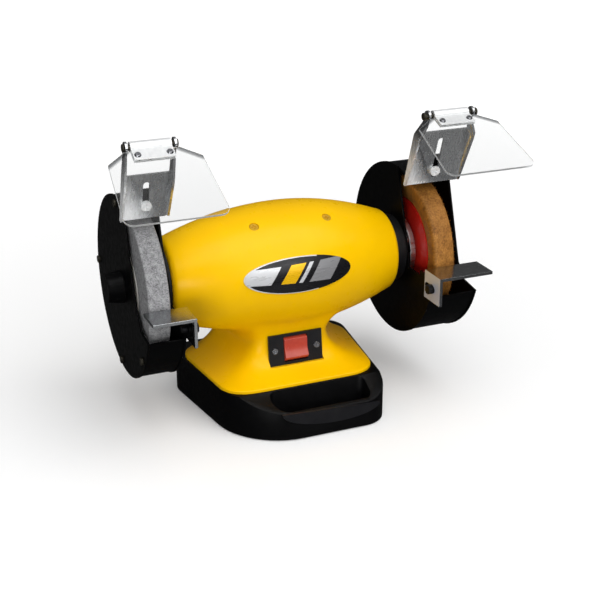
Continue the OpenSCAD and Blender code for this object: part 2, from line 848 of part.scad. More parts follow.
// strands stand on every second cell of the outer wall of one ring
module wire_bristles() {
    cols = 2 * wire_columns;
    rows = 2 * wire_rows + 1;
    root_half = 5;
    root_r = wire_plate_d / 2 - 3;
    back_r = 26;
    function ang(c) = 360 * (c + 0.5) / cols;
    function wall_point(c, k, r) =
        [wheel_x - root_half + 2 * root_half * k / rows, r * sin(ang(c)), shaft_h + r * cos(ang(c))];
    function id(c, k) = (c % cols) * (rows + 1) + k;
    function back_id(c, k) = cols * (rows + 1) + (c % cols) * 2 + k;
    function tip_id(c, k, n) = cols * (rows + 3) + ((c / 2) * wire_rows + (k - 1) / 2) * 4 + n;
    function is_strand(c, k) = c % 2 == 0 && k % 2 == 1;
    // each tip leans a little, so that the rim looks brushed
    function tip_point(c, k, n) =
        let (row = (k - 1) / 2 - (wire_rows - 1) / 2)
        let (lean = 0.5 * sin(c * 77 + k * 131), mid = ang(c + 0.5) + lean)
        let (half = 0.42 * 360 / cols, a = mid + (n == 0 || n == 3 ? -half : half))
        let (x = wheel_x + row * (wire_rim_w - 2) / (wire_rows - 1) + (n < 2 ? -0.75 : 0.75))
        let (r = wheel_r - 0.6 - 0.5 * sin(c * 53 + k * 29))
        [x, r * sin(a), shaft_h + r * cos(a)];
    points = concat(
        [for (c = [0:cols - 1]) for (k = [0:rows]) wall_point(c, k, root_r)],
        [for (c = [0:cols - 1]) for (k = [0, rows]) wall_point(c, k, back_r)],
        [for (c = [0:2:cols - 1]) for (k = [1:2:rows - 1]) for (n = [0:3]) tip_point(c, k, n)]);
    cell = function (c, k) [id(c, k), id(c + 1, k), id(c + 1, k + 1), id(c, k + 1)];
    tips = function (c, k) [for (n = [0:3]) tip_id(c, k, n)];
    quad = function (q) [[q[0], q[1], q[2]], [q[0], q[2], q[3]]];
    faces = concat(
        [for (c = [0:cols - 1]) for (k = [0:rows - 1]) if (!is_strand(c, k)) each quad(cell(c, k))],
        [for (c = [0:2:cols - 1]) for (k = [1:2:rows - 1]) each
            let (b = cell(c, k), t = tips(c, k))
            concat(quad(t), [for (n = [0:3]) each quad([b[n], b[(n + 1) % 4], t[(n + 1) % 4], t[n]])])],
        [for (c = [0:cols - 1]) each quad([id(c + 1, 0), id(c, 0), back_id(c, 0), back_id(c + 1, 0)])],
        [for (c = [0:cols - 1]) each quad([id(c, rows), id(c + 1, rows), back_id(c + 1, 1), back_id(c, 1)])],
        [for (c = [0:cols - 1]) each quad([back_id(c + 1, 0), back_id(c, 0), back_id(c, 1), back_id(c + 1, 1)])]);
    color([0.62, 0.38, 0.15]) polyhedron(points, faces);
}

// brackets and eye shields

module bracket(w, len, ear_x) {
    half = w / 2;
    slot_high = len - slot_top;
    in_bracket() {
        difference() {
            translate([-half, -bracket_t, 0]) cube([w, bracket_t, len]);
            for (z = [slot_low + slot_half, slot_high - slot_half])
                translate([0, -9, z]) rotate([-90, 0, 0]) cylinder(h = 20, r = slot_half);
            translate([-slot_half, -9, slot_low + slot_half])
                cube([2 * slot_half, 20, slot_high - slot_low - 2 * slot_half]);
        }
        for (s = sides) {
            // each side is bent forward, deeper towards the top, and drawn in to its ear
            translate([s * (half - 1), 0, 0]) along_x(-1, 2)
                polygon([[0, 0], [-flange_low, 0], [-flange_depth, len - 6], [-flange_depth, len], [0, len]]);
            hull() {
                translate([s * (half - 1), 0, 0]) along_x(-1, 2)
                    translate([-flange_depth, len - 4]) square([flange_depth, 4]);
                translate([s * (ear_x - 1), 0, 0]) along_x(-1, 2)
                    translate([-hinge_fwd - 3.2, hinge_up - 11]) square([7.6, 4]);
            }
            translate([s * (ear_x - 1), 0, 0]) difference() {
                along_x(-1, 2) {
                    translate([-hinge_fwd, hinge_up]) circle(ear_r);
                    translate([-hinge_fwd - 3.2, hinge_up - 11]) square([7.6, 11]);
                }
                translate([0, -hinge_fwd, hinge_up]) disc_x(-9, 18, rod_r + seat);
            }
        }
    }
}

module bracket_left() {
    color([0.62, 0.63, 0.64]) on_side(LEFT) bracket(left_bracket_w, left_bracket_len, left_bracket_w / 2);
}

module bracket_right() {
    color([0.62, 0.63, 0.64]) bracket(right_bracket_w, right_bracket_len, right_ear_x);
}

module bracket_screws() {
    color([0.75, 0.76, 0.78])
        for (s = sides)
            on_side(s) in_bracket() translate([0, -bracket_t - seat, bracket_screw_z]) rotate([90, 0, 0]) {
                pan_screw(5, 3, 2.5, 9);
                translate([0, 0, -bracket_t - sheet - 3 * seat - 3.5]) difference() {
                    cylinder(h = 3.5, r = 4.6, $fn = 6);
                    translate([0, 0, -1]) cylinder(h = 9, r = 2.4);
                }
            }
}

module hinge_rod(half) {
    translate([wheel_x, hinge_y, hinge_z]) {
        disc_x(-half, 2 * half, rod_r);
        for (s = sides)
            on_side(s) disc_x(half, 1.6, 3.6);
    }
}

module hinge_rod_left() {
    color([0.8, 0.81, 0.82]) on_side(LEFT) hinge_rod(left_bracket_w / 2 + 0.3);
}

module hinge_rod_right() {
    color([0.8, 0.81, 0.82]) hinge_rod(right_ear_x + 2.4);
}

module in_shield(tilt) {
    translate([wheel_x, hinge_y, hinge_z]) rotate([tilt, 0, 0]) children();
}

module shield() {
    half = shield_w / 2;
    round_r = 8;
    top = half - shield_taper;
    shoulder_y = -shield_gap - shield_shoulder;
    difference() {
        translate([0, 0, -shield_t / 2]) linear_extrude(shield_t)
            polygon(concat(
                [[-shield_top_half, -shield_gap], [-top, shoulder_y]],
                corner([-top, shoulder_y], [-half, -shield_len], [0, -shield_len], round_r),
                corner([0, -shield_len], [half, -shield_len], [top, shoulder_y], round_r),
                [[top, shoulder_y], [shield_top_half, -shield_gap]]));
        for (s = sides)
            translate([s * rivet_x, rivet_y, -9]) cylinder(h = 18, r = 1.6);
    }
}

module shield_left() {
    color([0.85, 0.9, 0.92, 0.35]) on_side(LEFT) in_shield(left_shield_tilt) shield();
}

module shield_right() {
    color([0.85, 0.9, 0.92, 0.35]) in_shield(right_shield_tilt) shield();
}

module shield_clip() {
    gap = shield_t / 2 + seat;
    difference() {
        union() {
            ring_x(-clip_half, 2 * clip_half, 5, rod_r + 0.3);
            for (z = [gap, -gap - 1.3])
                translate([-clip_half, -clip_reach, z]) cube([2 * clip_half, clip_reach - 4.2, 1.3]);
        }
        for (s = sides)
            translate([s * rivet_x, rivet_y, -9]) cylinder(h = 18, r = 1.6);
    }
}

module shield_clip_left() {
    color([0.7, 0.71, 0.73]) on_side(LEFT) in_shield(left_shield_tilt) shield_clip();
}

module shield_clip_right() {
    color([0.7, 0.71, 0.73]) in_shield(right_shield_tilt) shield_clip();
}

module shield_rivets() {
    top = shield_t / 2 + seat + 1.3;
    for (s = sides)
        translate([s * rivet_x, rivet_y, 0]) {
            translate([0, 0, -top]) cylinder(h = 2 * top, r = 1.58);
            translate([0, 0, top]) cylinder(h = 1.6, r1 = 3.2, r2 = 2.2);
            translate([0, 0, -top - 1.2]) cylinder(h = 1.2, r = 2.8);
        }
}

module shield_rivets_left() {
    color([0.8, 0.81, 0.82]) on_side(LEFT) in_shield(left_shield_tilt) shield_rivets();
}

module shield_rivets_right() {
    color([0.8, 0.81, 0.82]) in_shield(right_shield_tilt) shield_rivets();
}

// tool rests

module rest(w) {
    x0 = guard_in - rest_t - seat;
    difference() {
        union() {
            translate([x0, rest_front, rest_top - rest_t]) cube([w, rest_depth, rest_t]);
            translate([x0, rest_front, rest_top - rest_drop]) cube([rest_t, rest_depth, rest_drop]);
        }
        for (y = [knob_y - 2.2, knob_y + 10.2])
            translate([0, y, knob_z]) disc_x(x0 - 9, 20, stud_r + 0.4);
        translate([x0 - 9, knob_y - 2.2, knob_z - stud_r - 0.4]) cube([20, 12.4, 2 * stud_r + 0.8]);
    }
}

module rest_left() {
    color([0.66, 0.67, 0.69]) on_side(LEFT) rest(left_rest_w);
}

module rest_right() {
    color([0.66, 0.67, 0.69]) rest(right_rest_w);
}

module rest_knob() {
    flutes = 8;
    head_r = 4.6;
    head_h = 5;
    x1 = guard_in - rest_t - 2 * seat;
    translate([0, knob_y, knob_z]) {
        difference() {
            disc_x(x1 - head_h, head_h, head_r);
            for (i = [0:flutes - 1])
                rotate([i * 360 / flutes, 0, 0]) translate([0, 0, head_r + 0.5]) disc_x(x1 - head_h - 1, head_h + 0.2, 1);
        }
        disc_x(x1 - 1, rest_t + sheet + 6, stud_r);
    }
}

module rest_knob_left() {
    color([0.12, 0.12, 0.125]) on_side(LEFT) rest_knob();
}

module rest_knob_right() {
    color([0.12, 0.12, 0.125]) rest_knob();
}

plinth();
bottom_plate();
rubber_feet();
plate_screws();
cord_gland();
housing();
housing_screws();
badge_plate();
end_bells();
bell_screws();
stator_core();
stator_windings();
capacitor();
capacitor_clip();
terminal_block();
lead_wires();
switch_frame();
switch_body();
switch_screws();
rocker();
shaft();
rotor_core();
rotor_rings();
cooling_fan();
outer_races();
inner_races();
ball_cages();
preload_washer();
guard_left();
guard_right();
cover_left();
cover_right();
guard_screws();
cover_screws();
grinding_wheel();
paper_blotters();
wheel_flanges();
arbor_nuts();
wire_hub();
wire_plates();
wire_bristles();
bracket_left();
bracket_right();
bracket_screws();
hinge_rod_left();
hinge_rod_right();
shield_clip_left();
shield_clip_right();
shield_left();
shield_right();
shield_rivets_left();
shield_rivets_right();
rest_left();
rest_right();
rest_knob_left();
rest_knob_right();
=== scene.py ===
import json
import math
import random

import bmesh
import bpy
from mathutils import Matrix, Vector

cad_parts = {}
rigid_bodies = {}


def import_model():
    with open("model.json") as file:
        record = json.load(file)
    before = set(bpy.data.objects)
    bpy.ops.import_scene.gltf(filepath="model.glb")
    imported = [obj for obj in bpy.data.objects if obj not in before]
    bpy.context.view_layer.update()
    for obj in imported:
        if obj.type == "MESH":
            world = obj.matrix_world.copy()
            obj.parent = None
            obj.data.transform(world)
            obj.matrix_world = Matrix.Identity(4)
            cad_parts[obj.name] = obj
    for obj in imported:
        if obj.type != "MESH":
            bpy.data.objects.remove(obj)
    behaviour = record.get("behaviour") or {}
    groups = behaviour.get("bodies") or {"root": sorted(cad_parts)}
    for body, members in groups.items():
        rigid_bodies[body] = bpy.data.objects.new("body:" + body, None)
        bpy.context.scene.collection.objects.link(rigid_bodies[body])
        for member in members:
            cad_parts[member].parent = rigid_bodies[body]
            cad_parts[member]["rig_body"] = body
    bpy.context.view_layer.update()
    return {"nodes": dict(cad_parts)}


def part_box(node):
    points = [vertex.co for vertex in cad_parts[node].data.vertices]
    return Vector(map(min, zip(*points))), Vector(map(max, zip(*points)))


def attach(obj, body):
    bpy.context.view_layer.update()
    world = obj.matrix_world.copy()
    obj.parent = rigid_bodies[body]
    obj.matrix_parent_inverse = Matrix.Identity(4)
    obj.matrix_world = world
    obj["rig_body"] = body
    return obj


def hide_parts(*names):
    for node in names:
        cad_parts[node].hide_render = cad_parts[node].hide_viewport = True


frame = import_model()
scene = bpy.context.scene
mm = 0.001
axisZ = 144.0            # height of the shaft, in mm as every size below
wheelX = 144.0           # middle of each wheel from the centre
white = (1, 1, 1, 1)
print("frame loaded:", len(frame["nodes"]), "nodes")


# shader helpers: a value is a plain number or color, or the output of another node

def addNode(tree, kind, **values):
    node = tree.nodes.new("ShaderNode" + kind)
    for key, value in values.items():
        setattr(node, key, value)
    return node


def feed(tree, socket, value):
    if isinstance(value, bpy.types.NodeSocket):
        tree.links.new(value, socket)
    else:
        socket.default_value = value


def feedAll(tree, node, values):
    for label, value in values.items():
        feed(tree, node.inputs[label], value)


def startMaterial(name):
    material = bpy.data.materials.new(name)
    material.use_nodes = True
    return material, material.node_tree, material.node_tree.nodes["Principled BSDF"]


def mixColors(tree, factor, first, second):
    mix = addNode(tree, "Mix", data_type="RGBA", blend_type="MIX")
    for place, value in ((0, factor), (6, first), (7, second)):      # the color sockets of the node
        feed(tree, mix.inputs[place], value)
    return mix.outputs[2]


def doMath(tree, operation, *values):
    node = addNode(tree, "Math", operation=operation)
    for socket, value in zip(node.inputs, values):
        feed(tree, socket, value)
    return node.outputs[0]


def mapValue(tree, value, low, high, toLow, toHigh, clamp=True):
    node = addNode(tree, "MapRange", clamp=clamp)
    ends = {"From Min": low, "From Max": high, "To Min": toLow, "To Max": toHigh}
    feedAll(tree, node, {"Value": value, **ends})
    return node.outputs["Result"]


def spread(tree, value, span):       # 0 to 1 becomes the span
    return mapValue(tree, value, 0.0, 1.0, *span)


def weighed(tree, first, second, share):         # the first has that share, the second the rest
    parts = [doMath(tree, "MULTIPLY", first, share), doMath(tree, "MULTIPLY", second, 1 - share)]
    return doMath(tree, "ADD", *parts)


def axesOf(tree, vector):
    split = addNode(tree, "SeparateXYZ")
    feed(tree, split.inputs["Vector"], vector)
    return split.outputs


def dotWith(tree, vector, direction):
    dot = addNode(tree, "VectorMath", operation="DOT_PRODUCT")
    feed(tree, dot.inputs[0], vector)
    feed(tree, dot.inputs[1], direction)
    return dot.outputs["Value"]


# camera and studio

cameraSet = {"place": (-413.7, -1032.0, 560.9), "aim": (22.2, 0.0, 101.4), "lens": 72.6, "sensor": 36.0}
studioSet = {
    "floorSize": 12.0, "floorRough": 0.22,
    "floorSeen": 0.95,                                       # paper as the camera sees it
    "floorGlow": (0.20, 0.48), "glowReach": (0.2, 0.9),      # and its glow at two distances
    "floorBounce": (0.42, 0.07),                             # as it lights the part, and as gloss shows it
    "worldSeen": 1.0,
    "worldLight": (0.04, 0.45),                              # strength at the horizon and overhead
    "sunPower": 1.75, "sunSpread": 60.0, "sunTurn": (30.0, 10.0, 0.0),
    "lamps": {
        "topSoftbox": {
            "place": (0.10, -0.55, 1.35), "aim": (0.0, 0.0, 0.15), "size": (1.5, 0.5), "power": 2.5},
        "frontSoftbox": {
            "place": (0.35, -1.75, 0.70), "aim": (0.0, 0.0, 0.10), "size": (0.9, 0.7), "power": 6.0},
        "leftFill": {
            "place": (-0.85, -1.35, 0.24), "aim": (-0.05, 0.0, 0.08), "size": (0.6, 0.4), "power": 6.5},
    },
}


def aimFrom(place, target):
    return (Vector(target) - Vector(place)).to_track_quat("-Z", "Y").to_euler()


def makeCamera():
    data = bpy.data.cameras.new("camera")
    data.lens, data.sensor_width = cameraSet["lens"], cameraSet["sensor"]
    camera = bpy.data.objects.new("camera", data)
    camera.location = Vector(cameraSet["place"]) * mm
    camera.rotation_euler = aimFrom(cameraSet["place"], cameraSet["aim"])
    scene.collection.objects.link(camera)
    scene.camera = camera


def addLight(data, turn, place=(0, 0, 0)):
    light = bpy.data.objects.new(data.name, data)
    light.location, light.rotation_euler = place, turn
    scene.collection.objects.link(light)


def makeLamps():
    for name, lamp in studioSet["lamps"].items():
        data = bpy.data.lights.new(name, "AREA")
        data.shape, data.energy = "RECTANGLE", lamp["power"]
        data.size, data.size_y = lamp["size"]
        addLight(data, aimFrom(lamp["place"], lamp["aim"]), lamp["place"])
    sun = bpy.data.lights.new("evenLight", "SUN")
    sun.energy, sun.angle = studioSet["sunPower"], math.radians(studioSet["sunSpread"])
    addLight(sun, [math.radians(a) for a in studioSet["sunTurn"]])


def seenRay(tree):       # 1 for what the camera sees, also through the clear shields
    path = addNode(tree, "LightPath").outputs
    return doMath(tree, "MAXIMUM", path["Is Camera Ray"], path["Is Transmission Ray"])


def makeWorld():
    world = bpy.data.worlds.new("studio")
    world.use_nodes = True
    tree = world.node_tree
    background = tree.nodes["Background"]
    background.inputs["Color"].default_value = white
    up = axesOf(tree, addNode(tree, "TexCoord").outputs["Generated"])["Z"]
    around = spread(tree, doMath(tree, "MULTIPLY", up, up), studioSet["worldLight"])
    strength = spread(tree, seenRay(tree), (around, studioSet["worldSeen"]))     # seen, it is plain white
    feed(tree, background.inputs["Strength"], strength)
    scene.world = world
    scene.view_settings.view_transform = "Standard"


def makeFloor():
    bm = bmesh.new()
    bmesh.ops.create_grid(bm, x_segments=2, y_segments=2, size=studioSet["floorSize"])
    mesh = bpy.data.meshes.new("floor")
    bm.to_mesh(mesh)
    bm.free()
    floor = bpy.data.objects.new("floor", mesh)
    scene.collection.objects.link(floor)
    material, tree, shader = startMaterial("floorPaper")
    seen = seenRay(tree)
    bounce = spread(tree, addNode(tree, "LightPath").outputs["Is Glossy Ray"], studioSet["floorBounce"])
    away = addNode(tree, "VectorMath", operation="LENGTH")
    feed(tree, away.inputs[0], addNode(tree, "TexCoord").outputs["Object"])
    reach, glow = studioSet["glowReach"], studioSet["floorGlow"]
    far = mapValue(tree, away.outputs["Value"], *reach, *glow, clamp=False)      # runs on to pure white
    feedAll(tree, shader, {
        "Base Color": spread(tree, seen, (bounce, studioSet["floorSeen"])),
        "Roughness": studioSet["floorRough"],
        "Emission Color": white, "Emission Strength": spread(tree, seen, (0.0, far))})
    mesh.materials.append(material)


makeCamera()
makeLamps()
makeWorld()
makeFloor()
print("camera and studio set")


# shared effects, as shader groups on Object coordinates

noiseSpan = (0.3, 0.7)       # where most of a noise lies
effectSet = {
    "toneDetail": 4.0, "coarseDetail": 3.0, "fineDetail": 2.0, "coarseScale": 0.12, "coarseHeight": 0.6,
}


def newGroup(name, inputs, outputs):
    group = bpy.data.node_groups.new(name, "ShaderNodeTree")
    for label, kind, value in inputs:
        socket = group.interface.new_socket(label, in_out="INPUT", socket_type="NodeSocket" + kind)
        socket.default_value = value
    for label, kind in outputs:
        group.interface.new_socket(label, in_out="OUTPUT", socket_type="NodeSocket" + kind)
    return group, group.nodes.new("NodeGroupInput"), group.nodes.new("NodeGroupOutput")


def addNoise(tree, vector, scale, detail):
    noise = addNode(tree, "TexNoise")
    feedAll(tree, noise, {"Vector": vector, "Scale": scale, "Detail": detail})
    return noise.outputs["Fac"]


def makeToneGroup():
    group, start, end = newGroup(
        "cloudyTone",
        [("First", "Color", white), ("Second", "Color", (0, 0, 0, 1)), ("Scale", "Float", 30.0)],
        [("Color", "Color")])
    point = addNode(group, "TexCoord").outputs["Object"]
    noise = addNoise(group, point, start.outputs["Scale"], effectSet["toneDetail"])
    mask = mapValue(group, noise, *noiseSpan, 0.0, 1.0)
    color = mixColors(group, mask, start.outputs["First"], start.outputs["Second"])
    feed(group, end.inputs["Color"], color)
    return group


def makeGrainGroup():
    group, start, end = newGroup(
        "fineGrain",
        [("Scale", "Float", 500.0), ("Stretch", "Vector", (1, 1, 1))],
        [("Mask", "Float"), ("Height", "Float")])
    mapping, coords = addNode(group, "Mapping"), addNode(group, "TexCoord")
    feedAll(group, mapping, {"Vector": coords.outputs["Object"], "Scale": start.outputs["Stretch"]})
    point, scale = mapping.outputs["Vector"], start.outputs["Scale"]
    large = doMath(group, "MULTIPLY", scale, effectSet["coarseScale"])
    coarse = addNoise(group, point, large, effectSet["coarseDetail"])
    small = addNoise(group, point, scale, effectSet["fineDetail"])
    height = doMath(group, "ADD", small, doMath(group, "MULTIPLY", coarse, effectSet["coarseHeight"]))
    feedAll(group, end, {"Mask": mapValue(group, coarse, *noiseSpan, 0.0, 1.0), "Height": height})
    return group


toneGroup = makeToneGroup()
grainGroup = makeGrainGroup()


def placeGroup(tree, group, **values):
    node = addNode(tree, "Group", node_tree=group)
    feedAll(tree, node, values)
    return node.outputs


def fine(size):          # noise scale for spots of that size in mm
    return 1.0 / (size * mm)


# finishes: color and second are the two tones, rough the range of gloss, grain the spot size in mm
finishSet = {
    "yellowPaint": {
        "slot": "yellow_paint", "color": (0.97, 0.565, 0.0), "second": (0.93, 0.52, 0.0), "patch": 60,
        "rough": (0.26, 0.36), "grain": 0.9, "bump": 0.012, "coat": 0.03, "coatRough": 0.1, "specular": 0.12},
    "blackPlastic": {
        "slot": "black_plastic", "color": (0.0012, 0.0012, 0.0015), "second": (0.0026, 0.0026, 0.003),
        "patch": 30, "rough": (0.36, 0.52), "grain": 0.5, "bump": 0.08, "specular": 0.12},
    "switchPlastic": {
        "slot": "black_plastic", "color": (0.006, 0.006, 0.008), "second": (0.011, 0.011, 0.013), "patch": 12,
        "rough": (0.3, 0.42), "grain": 0.4, "bump": 0.06, "specular": 0.35},
    "darkCast": {
        "slot": "dark_cast", "color": (0.004, 0.004, 0.005), "second": (0.008, 0.008, 0.009), "patch": 15,
        "rough": (0.42, 0.6), "grain": 0.8, "bump": 0.2, "specular": 0.2},
    "blackPaint": {
        "slot": "black_paint", "color": (0.001, 0.001, 0.0012), "second": (0.0022, 0.0022, 0.0025),
        "patch": 45, "rough": (0.30, 0.44), "grain": 0.6, "bump": 0.05, "specular": 0.06},
    "darkScrew": {
        "slot": "screw_steel", "color": (0.05, 0.045, 0.03), "second": (0.03, 0.027, 0.02), "patch": 3,
        "rough": (0.35, 0.5), "grain": 0.3, "bump": 0.05, "metal": 0.6},
    "amberScrew": {
        "slot": "screw_steel", "color": (0.66, 0.37, 0.006), "second": (0.54, 0.29, 0.005), "patch": 3,
        "rough": (0.35, 0.5), "grain": 0.3, "bump": 0.05, "metal": 0.3},
    "machinedSteel": {
        "slot": "steel", "color": (0.62, 0.63, 0.64), "second": (0.5, 0.5, 0.52), "patch": 10,
        "rough": (0.24, 0.42), "grain": 0.3, "stretch": (0.15, 1, 1), "bump": 0.06, "metal": 1.0},
    "screwSteel": {
        "slot": "screw_steel", "color": (0.34, 0.345, 0.37), "second": (0.26, 0.265, 0.28), "patch": 3,
        "rough": (0.2, 0.36), "grain": 0.3, "bump": 0.05, "metal": 1.0},
    # painted highlight: near-white, barely metallic screws that show as white glints on the brackets
    "paintedGlintScrew": {
        "slot": "screw_steel", "color": (0.96, 0.965, 0.97), "second": (0.90, 0.905, 0.91), "patch": 3,
        "rough": (0.25, 0.4), "grain": 0.3, "bump": 0.04, "metal": 0.1},
    "sheetSteel": {
        "slot": "sheet_steel", "color": (0.5, 0.51, 0.53), "second": (0.38, 0.39, 0.41), "patch": 14,
        "rough": (0.32, 0.5), "grain": 0.4, "stretch": (1, 0.1, 1), "bump": 0.06, "metal": 1.0},
    "rotorCast": {
        "slot": "rotor_cast", "color": (0.72, 0.73, 0.74), "second": (0.6, 0.61, 0.62), "patch": 8,
        "rough": (0.38, 0.55), "grain": 0.7, "bump": 0.2, "metal": 1.0},
    "capacitorCan": {
        "slot": "capacitor_can", "color": (0.75, 0.76, 0.77), "second": (0.66, 0.67, 0.68), "patch": 12,
        "rough": (0.28, 0.4), "grain": 0.4, "stretch": (0.1, 1, 1), "bump": 0.05, "metal": 1.0},
    "terminalCream": {
        "slot": "terminal_cream", "color": (0.8, 0.76, 0.62), "second": (0.72, 0.67, 0.53), "patch": 9,
        "rough": (0.45, 0.6), "grain": 0.4, "bump": 0.08},
    "wireBlue": {
        "slot": "wire_blue", "color": (0.02, 0.06, 0.3), "second": (0.015, 0.045, 0.22), "patch": 5,
        "rough": (0.4, 0.52), "grain": 0.3, "bump": 0.05},
    "rubber": {
        "slot": "rubber", "color": (0.012, 0.012, 0.012), "second": (0.022, 0.022, 0.022), "patch": 6,
        "rough": (0.75, 0.9), "grain": 0.5, "bump": 0.2},
    # the rocker's glow is a painted glow: it gives off a little light of its own red
    "rockerRed": {
        "slot": "rocker_red", "color": (0.48, 0.06, 0.036), "second": (0.40, 0.04, 0.024), "patch": 9,
        "rough": (0.18, 0.28), "grain": 0.5, "bump": 0.03, "glow": 0.08},
    "blotterPaper": {
        "slot": "paper", "color": (0.78, 0.76, 0.7), "second": (0.66, 0.63, 0.56), "patch": 6,
        "rough": (0.8, 0.95), "grain": 0.3, "bump": 0.25},
    "redPaint": {
        "slot": "red_paint", "color": (0.66, 0.02, 0.01), "second": (0.5, 0.012, 0.007), "patch": 14,
        "rough": (0.3, 0.45), "grain": 0.6, "bump": 0.05, "specular": 0.35},
}
grainDepth = 0.3


def bumpFrom(tree, height, strength, depth):
    bump = addNode(tree, "Bump")
    feedAll(tree, bump, {"Height": height, "Strength": strength, "Distance": depth * mm})
    return bump.outputs["Normal"]


def dressShader(tree, shader, look, color, gloss, height):       # what the finishes share
    feedAll(tree, shader, {
        "Base Color": color, "Roughness": spread(tree, gloss, look["rough"]),
        "Normal": bumpFrom(tree, height, look["bump"], look["depth"]),
        "Metallic": look.get("metal", 0.0), "Specular IOR Level": look.get("specular", 0.5)})


def makeFinish(name):
    look = {"depth": grainDepth, **finishSet[name]}
    material, tree, shader = startMaterial(name)
    tones = {"First": (*look["color"], 1), "Second": (*look["second"], 1)}
    tone = placeGroup(tree, toneGroup, Scale=fine(look["patch"]), **tones)
    grain = placeGroup(tree, grainGroup, Scale=fine(look["grain"]), Stretch=look.get("stretch", (1, 1, 1)))
    dressShader(tree, shader, look, tone["Color"], grain["Mask"], grain["Height"])
    feedAll(tree, shader, {
        "Coat Weight": look.get("coat", 0.0), "Coat Roughness": look.get("coatRough", 0.03)})
    # painted glow: a finish with this gives off light of its own colour, though it is no lamp
    if "glow" in look:
        feedAll(tree, shader, {"Emission Color": (*look["color"], 1), "Emission Strength": look["glow"]})
    return material


materials = {name: makeFinish(name) for name in finishSet}
slotOf = {name: look["slot"] for name, look in finishSet.items()}
midGap = 0.01            # metres to each side of the middle, where no paired piece lies


def objectPoint(tree, centre=(0, 0, 0)):
    mapping = addNode(tree, "Mapping", vector_type="POINT")
    point = addNode(tree, "TexCoord").outputs["Object"]
    feedAll(tree, mapping, {"Vector": point, "Location": [-c * mm for c in centre]})
    return mapping.outputs["Vector"]


def bySide(tree, x, left, right):        # one value for the left piece, one for the right
    return mapValue(tree, x, -midGap, midGap, left, right)


def twoTones(tree, factor, look):
    return mixColors(tree, factor, (*look["dark"], 1), (*look["light"], 1))


def addCells(tree, size):        # crystals or grit of that size in mm, and a shade for each
    cells, split = addNode(tree, "TexVoronoi"), addNode(tree, "SeparateColor")
    feedAll(tree, cells, {"Vector": objectPoint(tree), "Scale": fine(size)})
    feed(tree, split.inputs["Color"], cells.outputs["Color"])
    return cells, split.outputs


zincSets = {
    "zincSheet": {
        "dark": (0.50, 0.51, 0.525), "light": (0.68, 0.69, 0.70), "rough": (0.20, 0.34), "metal": 1.0,
        # painted highlight: the near-white, hardly metallic tone for the lower left corner of each bracket
        "gleam": (0.94, 0.945, 0.95), "gleamMetal": 0.05},
    # painted shade: a darker copy of the brackets' zinc, standing for dark reflections on the rests' tops
    "zincRest": {
        "dark": (0.34, 0.35, 0.36), "light": (0.46, 0.47, 0.48), "rough": (0.13, 0.22), "metal": 1.0,
        "flange": (0.57, 0.61, 0.72), "flangeMetal": 0.2},
    "zincClip": {
        "dark": (0.82, 0.83, 0.84), "light": (0.93, 0.94, 0.94), "rough": (0.30, 0.42), "metal": 0.3},
}
zincGrain = {"spangle": 6.0, "share": 0.3, "size": 0.35, "stretch": (1, 1, 0.12), "bump": 0.03, "depth": 0.2}
paintedGleamSet = {"wide": 28, "tall": 60, "fade": (0.4, 1.0)}
flangeHighlightTurn = (0.5, 0.8)


def flangeHighlightMask(tree):        # painted highlight: the flange of the tool rest by the wire wheel, made light, bluish and hardly metallic
    coords = addNode(tree, "TexCoord").outputs
    upright = doMath(tree, "ABSOLUTE", axesOf(tree, coords["Normal"])["X"])
    wireSide = bySide(tree, axesOf(tree, coords["Object"])["X"], 0.0, 1.0)
    return doMath(tree, "MULTIPLY", wireSide, mapValue(tree, upright, *flangeHighlightTurn, 0.0, 1.0))


def paintedGleamMask(tree):         # painted highlight: the lower corner on the left of each bracket, made near white and hardly metallic
    place = axesOf(tree, objectPoint(tree))
    left, right = (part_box(node)[0] for node in ("bracket_left", "bracket_right"))
    inward = doMath(tree, "SUBTRACT", place["X"], bySide(tree, place["X"], left.x, right.x))
    across = doMath(tree, "DIVIDE", inward, paintedGleamSet["wide"] * mm)
    up = doMath(tree, "DIVIDE", doMath(tree, "SUBTRACT", place["Z"], right.z), paintedGleamSet["tall"] * mm)
    return mapValue(tree, doMath(tree, "ADD", across, up), *paintedGleamSet["fade"], 1.0, 0.0)


def makeZinc(name):      # plated sheet, rolled grain with faint spangles
    look = {**zincGrain, **zincSets[name]}
    material, tree, shader = startMaterial(name)
    _, shades = addCells(tree, look["spangle"])
    grain = placeGroup(tree, grainGroup, Scale=fine(look["size"]), Stretch=look["stretch"])
    color = twoTones(tree, weighed(tree, shades[0], grain["Mask"], look["share"]), look)
    dressShader(tree, shader, look, color, grain["Mask"], grain["Height"])
    # painted highlights: the rest's flange and the brackets' lower left corners get a light, less metallic tone
    for paintedMark, makeMask in (("flange", flangeHighlightMask), ("gleam", paintedGleamMask)):
        if paintedMark in look:
            where = makeMask(tree)
            feedAll(tree, shader, {
                "Base Color": mixColors(tree, where, color, (*look[paintedMark], 1)),
                "Metallic": spread(tree, where, (look["metal"], look[paintedMark + "Metal"]))})
    return material


gritSet = {
    "dark": (0.115, 0.115, 0.12), "light": (0.46, 0.46, 0.47), "rough": (0.7, 0.85),
    "grit": 0.9, "share": 0.6, "grain": 0.5, "grainHeight": 0.5, "bump": 0.55, "depth": 0.4,
}


def makeGrit():          # bonded abrasive
    material, tree, shader = startMaterial("bondedGrit")
    cells, shades = addCells(tree, gritSet["grit"])
    grain = placeGroup(tree, grainGroup, Scale=fine(gritSet["grain"]))
    color = twoTones(tree, weighed(tree, shades[0], grain["Mask"], gritSet["share"]), gritSet)
    rise = doMath(tree, "MULTIPLY", grain["Height"], gritSet["grainHeight"])
    height = doMath(tree, "ADD", cells.outputs["Distance"], rise)
    dressShader(tree, shader, gritSet, color, shades[1], height)
    return material


